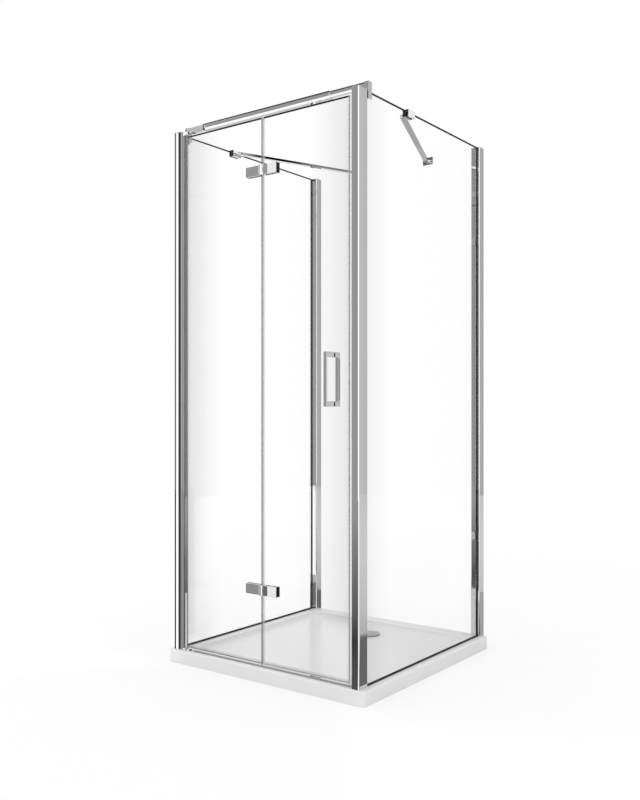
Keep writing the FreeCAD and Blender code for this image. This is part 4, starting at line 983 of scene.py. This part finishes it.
# %% Soften the metal fittings
MERGE_GAP = 0.002 * MM
FLAT_ANGLE = math.radians(0.5)
EDGE_ROUNDS = {  # millimetres; at 0 the edges stay sharp and only the curves are shaded smooth
    "top_pivot_block": 0.6, "bottom_pivot_block": 0.6,
    "left_stabiliser_clamp": 0.0, "right_stabiliser_clamp": 0.0,
    "left_brace_bar": 0.3, "right_brace_bar": 0.3,
    "left_brace_clamp": 0.0, "right_brace_clamp": 0.0,
    "left_brace_flange": 0.6, "right_brace_flange": 0.6,
    "left_hinge_leaves": 0.0, "right_hinge_leaves": 0.0,
    "left_hinge_back_plates": 0.0, "right_hinge_back_plates": 0.0,
    "outer_handle": 0.0, "inner_handle": 0.0, "shower_tray": 0.0, "drain_cover": 0.0,
}


def softened_copy(node, width):
    piece = bpy.data.objects.new(f"{node}.soft", nodes[node].data.copy())
    bpy.context.scene.collection.objects.link(piece)
    with editing(piece):
        bpy.ops.mesh.select_all(action="SELECT")
        bpy.ops.mesh.remove_doubles(threshold=MERGE_GAP)
        bpy.ops.mesh.dissolve_limited(angle_limit=FLAT_ANGLE)
    soften(piece, width)
    settle(piece, node)


for node, width in EDGE_ROUNDS.items():
    softened_copy(node, width)

# %% [markdown]
# ## Socket screws
#
# The plates and clamps are held by screws with a six-sided socket. The head is drawn as two
# rings, a round rim and a six-sided one, joined by a bridge; the rim is pulled down for the side
# of the head and the inner ring for the socket. One head is made for each kind and copied to
# every place where its solid has a screw, so the places are measured and not typed in.

# %% Model a socket head
RIM_SIDES = 36
SOCKET_SIDES = 6
SOCKET_DEPTH = 0.6
RING_SLACK = 0.1
LEVEL_GAP = 1e-7
HEAD_ROUND = 0.25


def socket_head(radius, height, socket):
    """A screw head under the origin, its top facing up, sizes in millimetres."""
    bpy.ops.object.select_all(action="DESELECT")
    bpy.ops.mesh.primitive_circle_add(vertices=RIM_SIDES, radius=radius * MM)
    head = bpy.context.object

    def on_ring(vert, size):
        return abs(vert.co.z) < LEVEL_GAP and abs(vert.co.length / MM - size) < RING_SLACK * size

    with editing(head):
        bpy.ops.mesh.primitive_circle_add(vertices=SOCKET_SIDES, radius=socket * MM)
        bpy.ops.mesh.select_all(action="SELECT")
        bpy.ops.mesh.bridge_edge_loops()
        for size, depth in ((radius, height), (socket, SOCKET_DEPTH * height)):
            pick("EDGE", lambda edge: all(on_ring(vert, size) for vert in edge.verts))
            bpy.ops.mesh.extrude_region_move(TRANSFORM_OT_translate={"value": (0, 0, -depth * MM)})
            bpy.ops.mesh.edge_face_add()
        bpy.ops.mesh.select_all(action="SELECT")
        bpy.ops.mesh.normals_make_consistent(inside=False)
    soften(head, HEAD_ROUND)
    return head


print("socket head helper ready")

# %% [markdown]
# A copy of each screw solid is taken apart into its separate screws, only to read where each one
# ends. The copies are then removed, and a head is turned to face out of each place.

# %% Drive the screws
INWARDS, UP, DOWN, BACK = "inwards", Vector((0, 0, 1)), Vector((0, 0, -1)), Vector((0, 1, 0))
SCREWS = {  # the way out, then the head's radius, its height and the socket's radius in mm
    "left_hinge_screws": (BACK, 4.5, 2.4, 2.3), "right_hinge_screws": (BACK, 4.5, 2.4, 2.3),
    "clamp_screws": (INWARDS, 4.5, 4.0, 2.3), "brace_pivot_screws": (UP, 5.0, 2.5, 2.6),
    "stabiliser_grub_screws": (DOWN, 1.95, 1.9, 1.1),
}


def screw_tops(node, facing):
    """Where each screw of a solid ends, and which way that end faces."""
    probe = bpy.data.objects.new("probe", nodes[node].data.copy())
    bpy.context.scene.collection.objects.link(probe)
    with editing(probe):
        bpy.ops.mesh.select_all(action="SELECT")
        bpy.ops.mesh.remove_doubles(threshold=MERGE_GAP)
        bpy.ops.mesh.separate(type="LOOSE")
    found = []
    for part in list(bpy.context.selected_objects):
        corners = [vert.co for vert in part.data.vertices]
        low = Vector([min(values) for values in zip(*corners)])
        high = Vector([max(values) for values in zip(*corners)])
        centre = (low + high) / 2
        out = Vector((-math.copysign(1, centre.x), 0, 0)) if facing == INWARDS else facing
        reach = (high - low).dot(Vector([abs(value) for value in out])) / 2
        found.append((centre + out * reach, out))
        bpy.data.objects.remove(part)
    return sorted(found, key=lambda top: tuple(top[0]))


def drive_screws(node, facing, *sizes):
    head = socket_head(*sizes)
    placed = []
    for spot, out in screw_tops(node, facing):
        screw = head.copy()
        screw.data = head.data.copy()
        bpy.context.scene.collection.objects.link(screw)
        screw.location = spot
        screw.rotation_euler = out.to_track_quat("Z", "Y").to_euler()
        placed.append(screw)
    bpy.data.objects.remove(head)
    bpy.ops.object.select_all(action="DESELECT")
    for screw in placed:
        screw.select_set(True)
    bpy.context.view_layer.objects.active = placed[0]
    bpy.ops.object.join()
    bpy.ops.object.transform_apply(location=True, rotation=True, scale=True)
    placed[0].name = f"{node}.socket"
    settle(placed[0], node)


for node, how in SCREWS.items():
    drive_screws(node, *how)
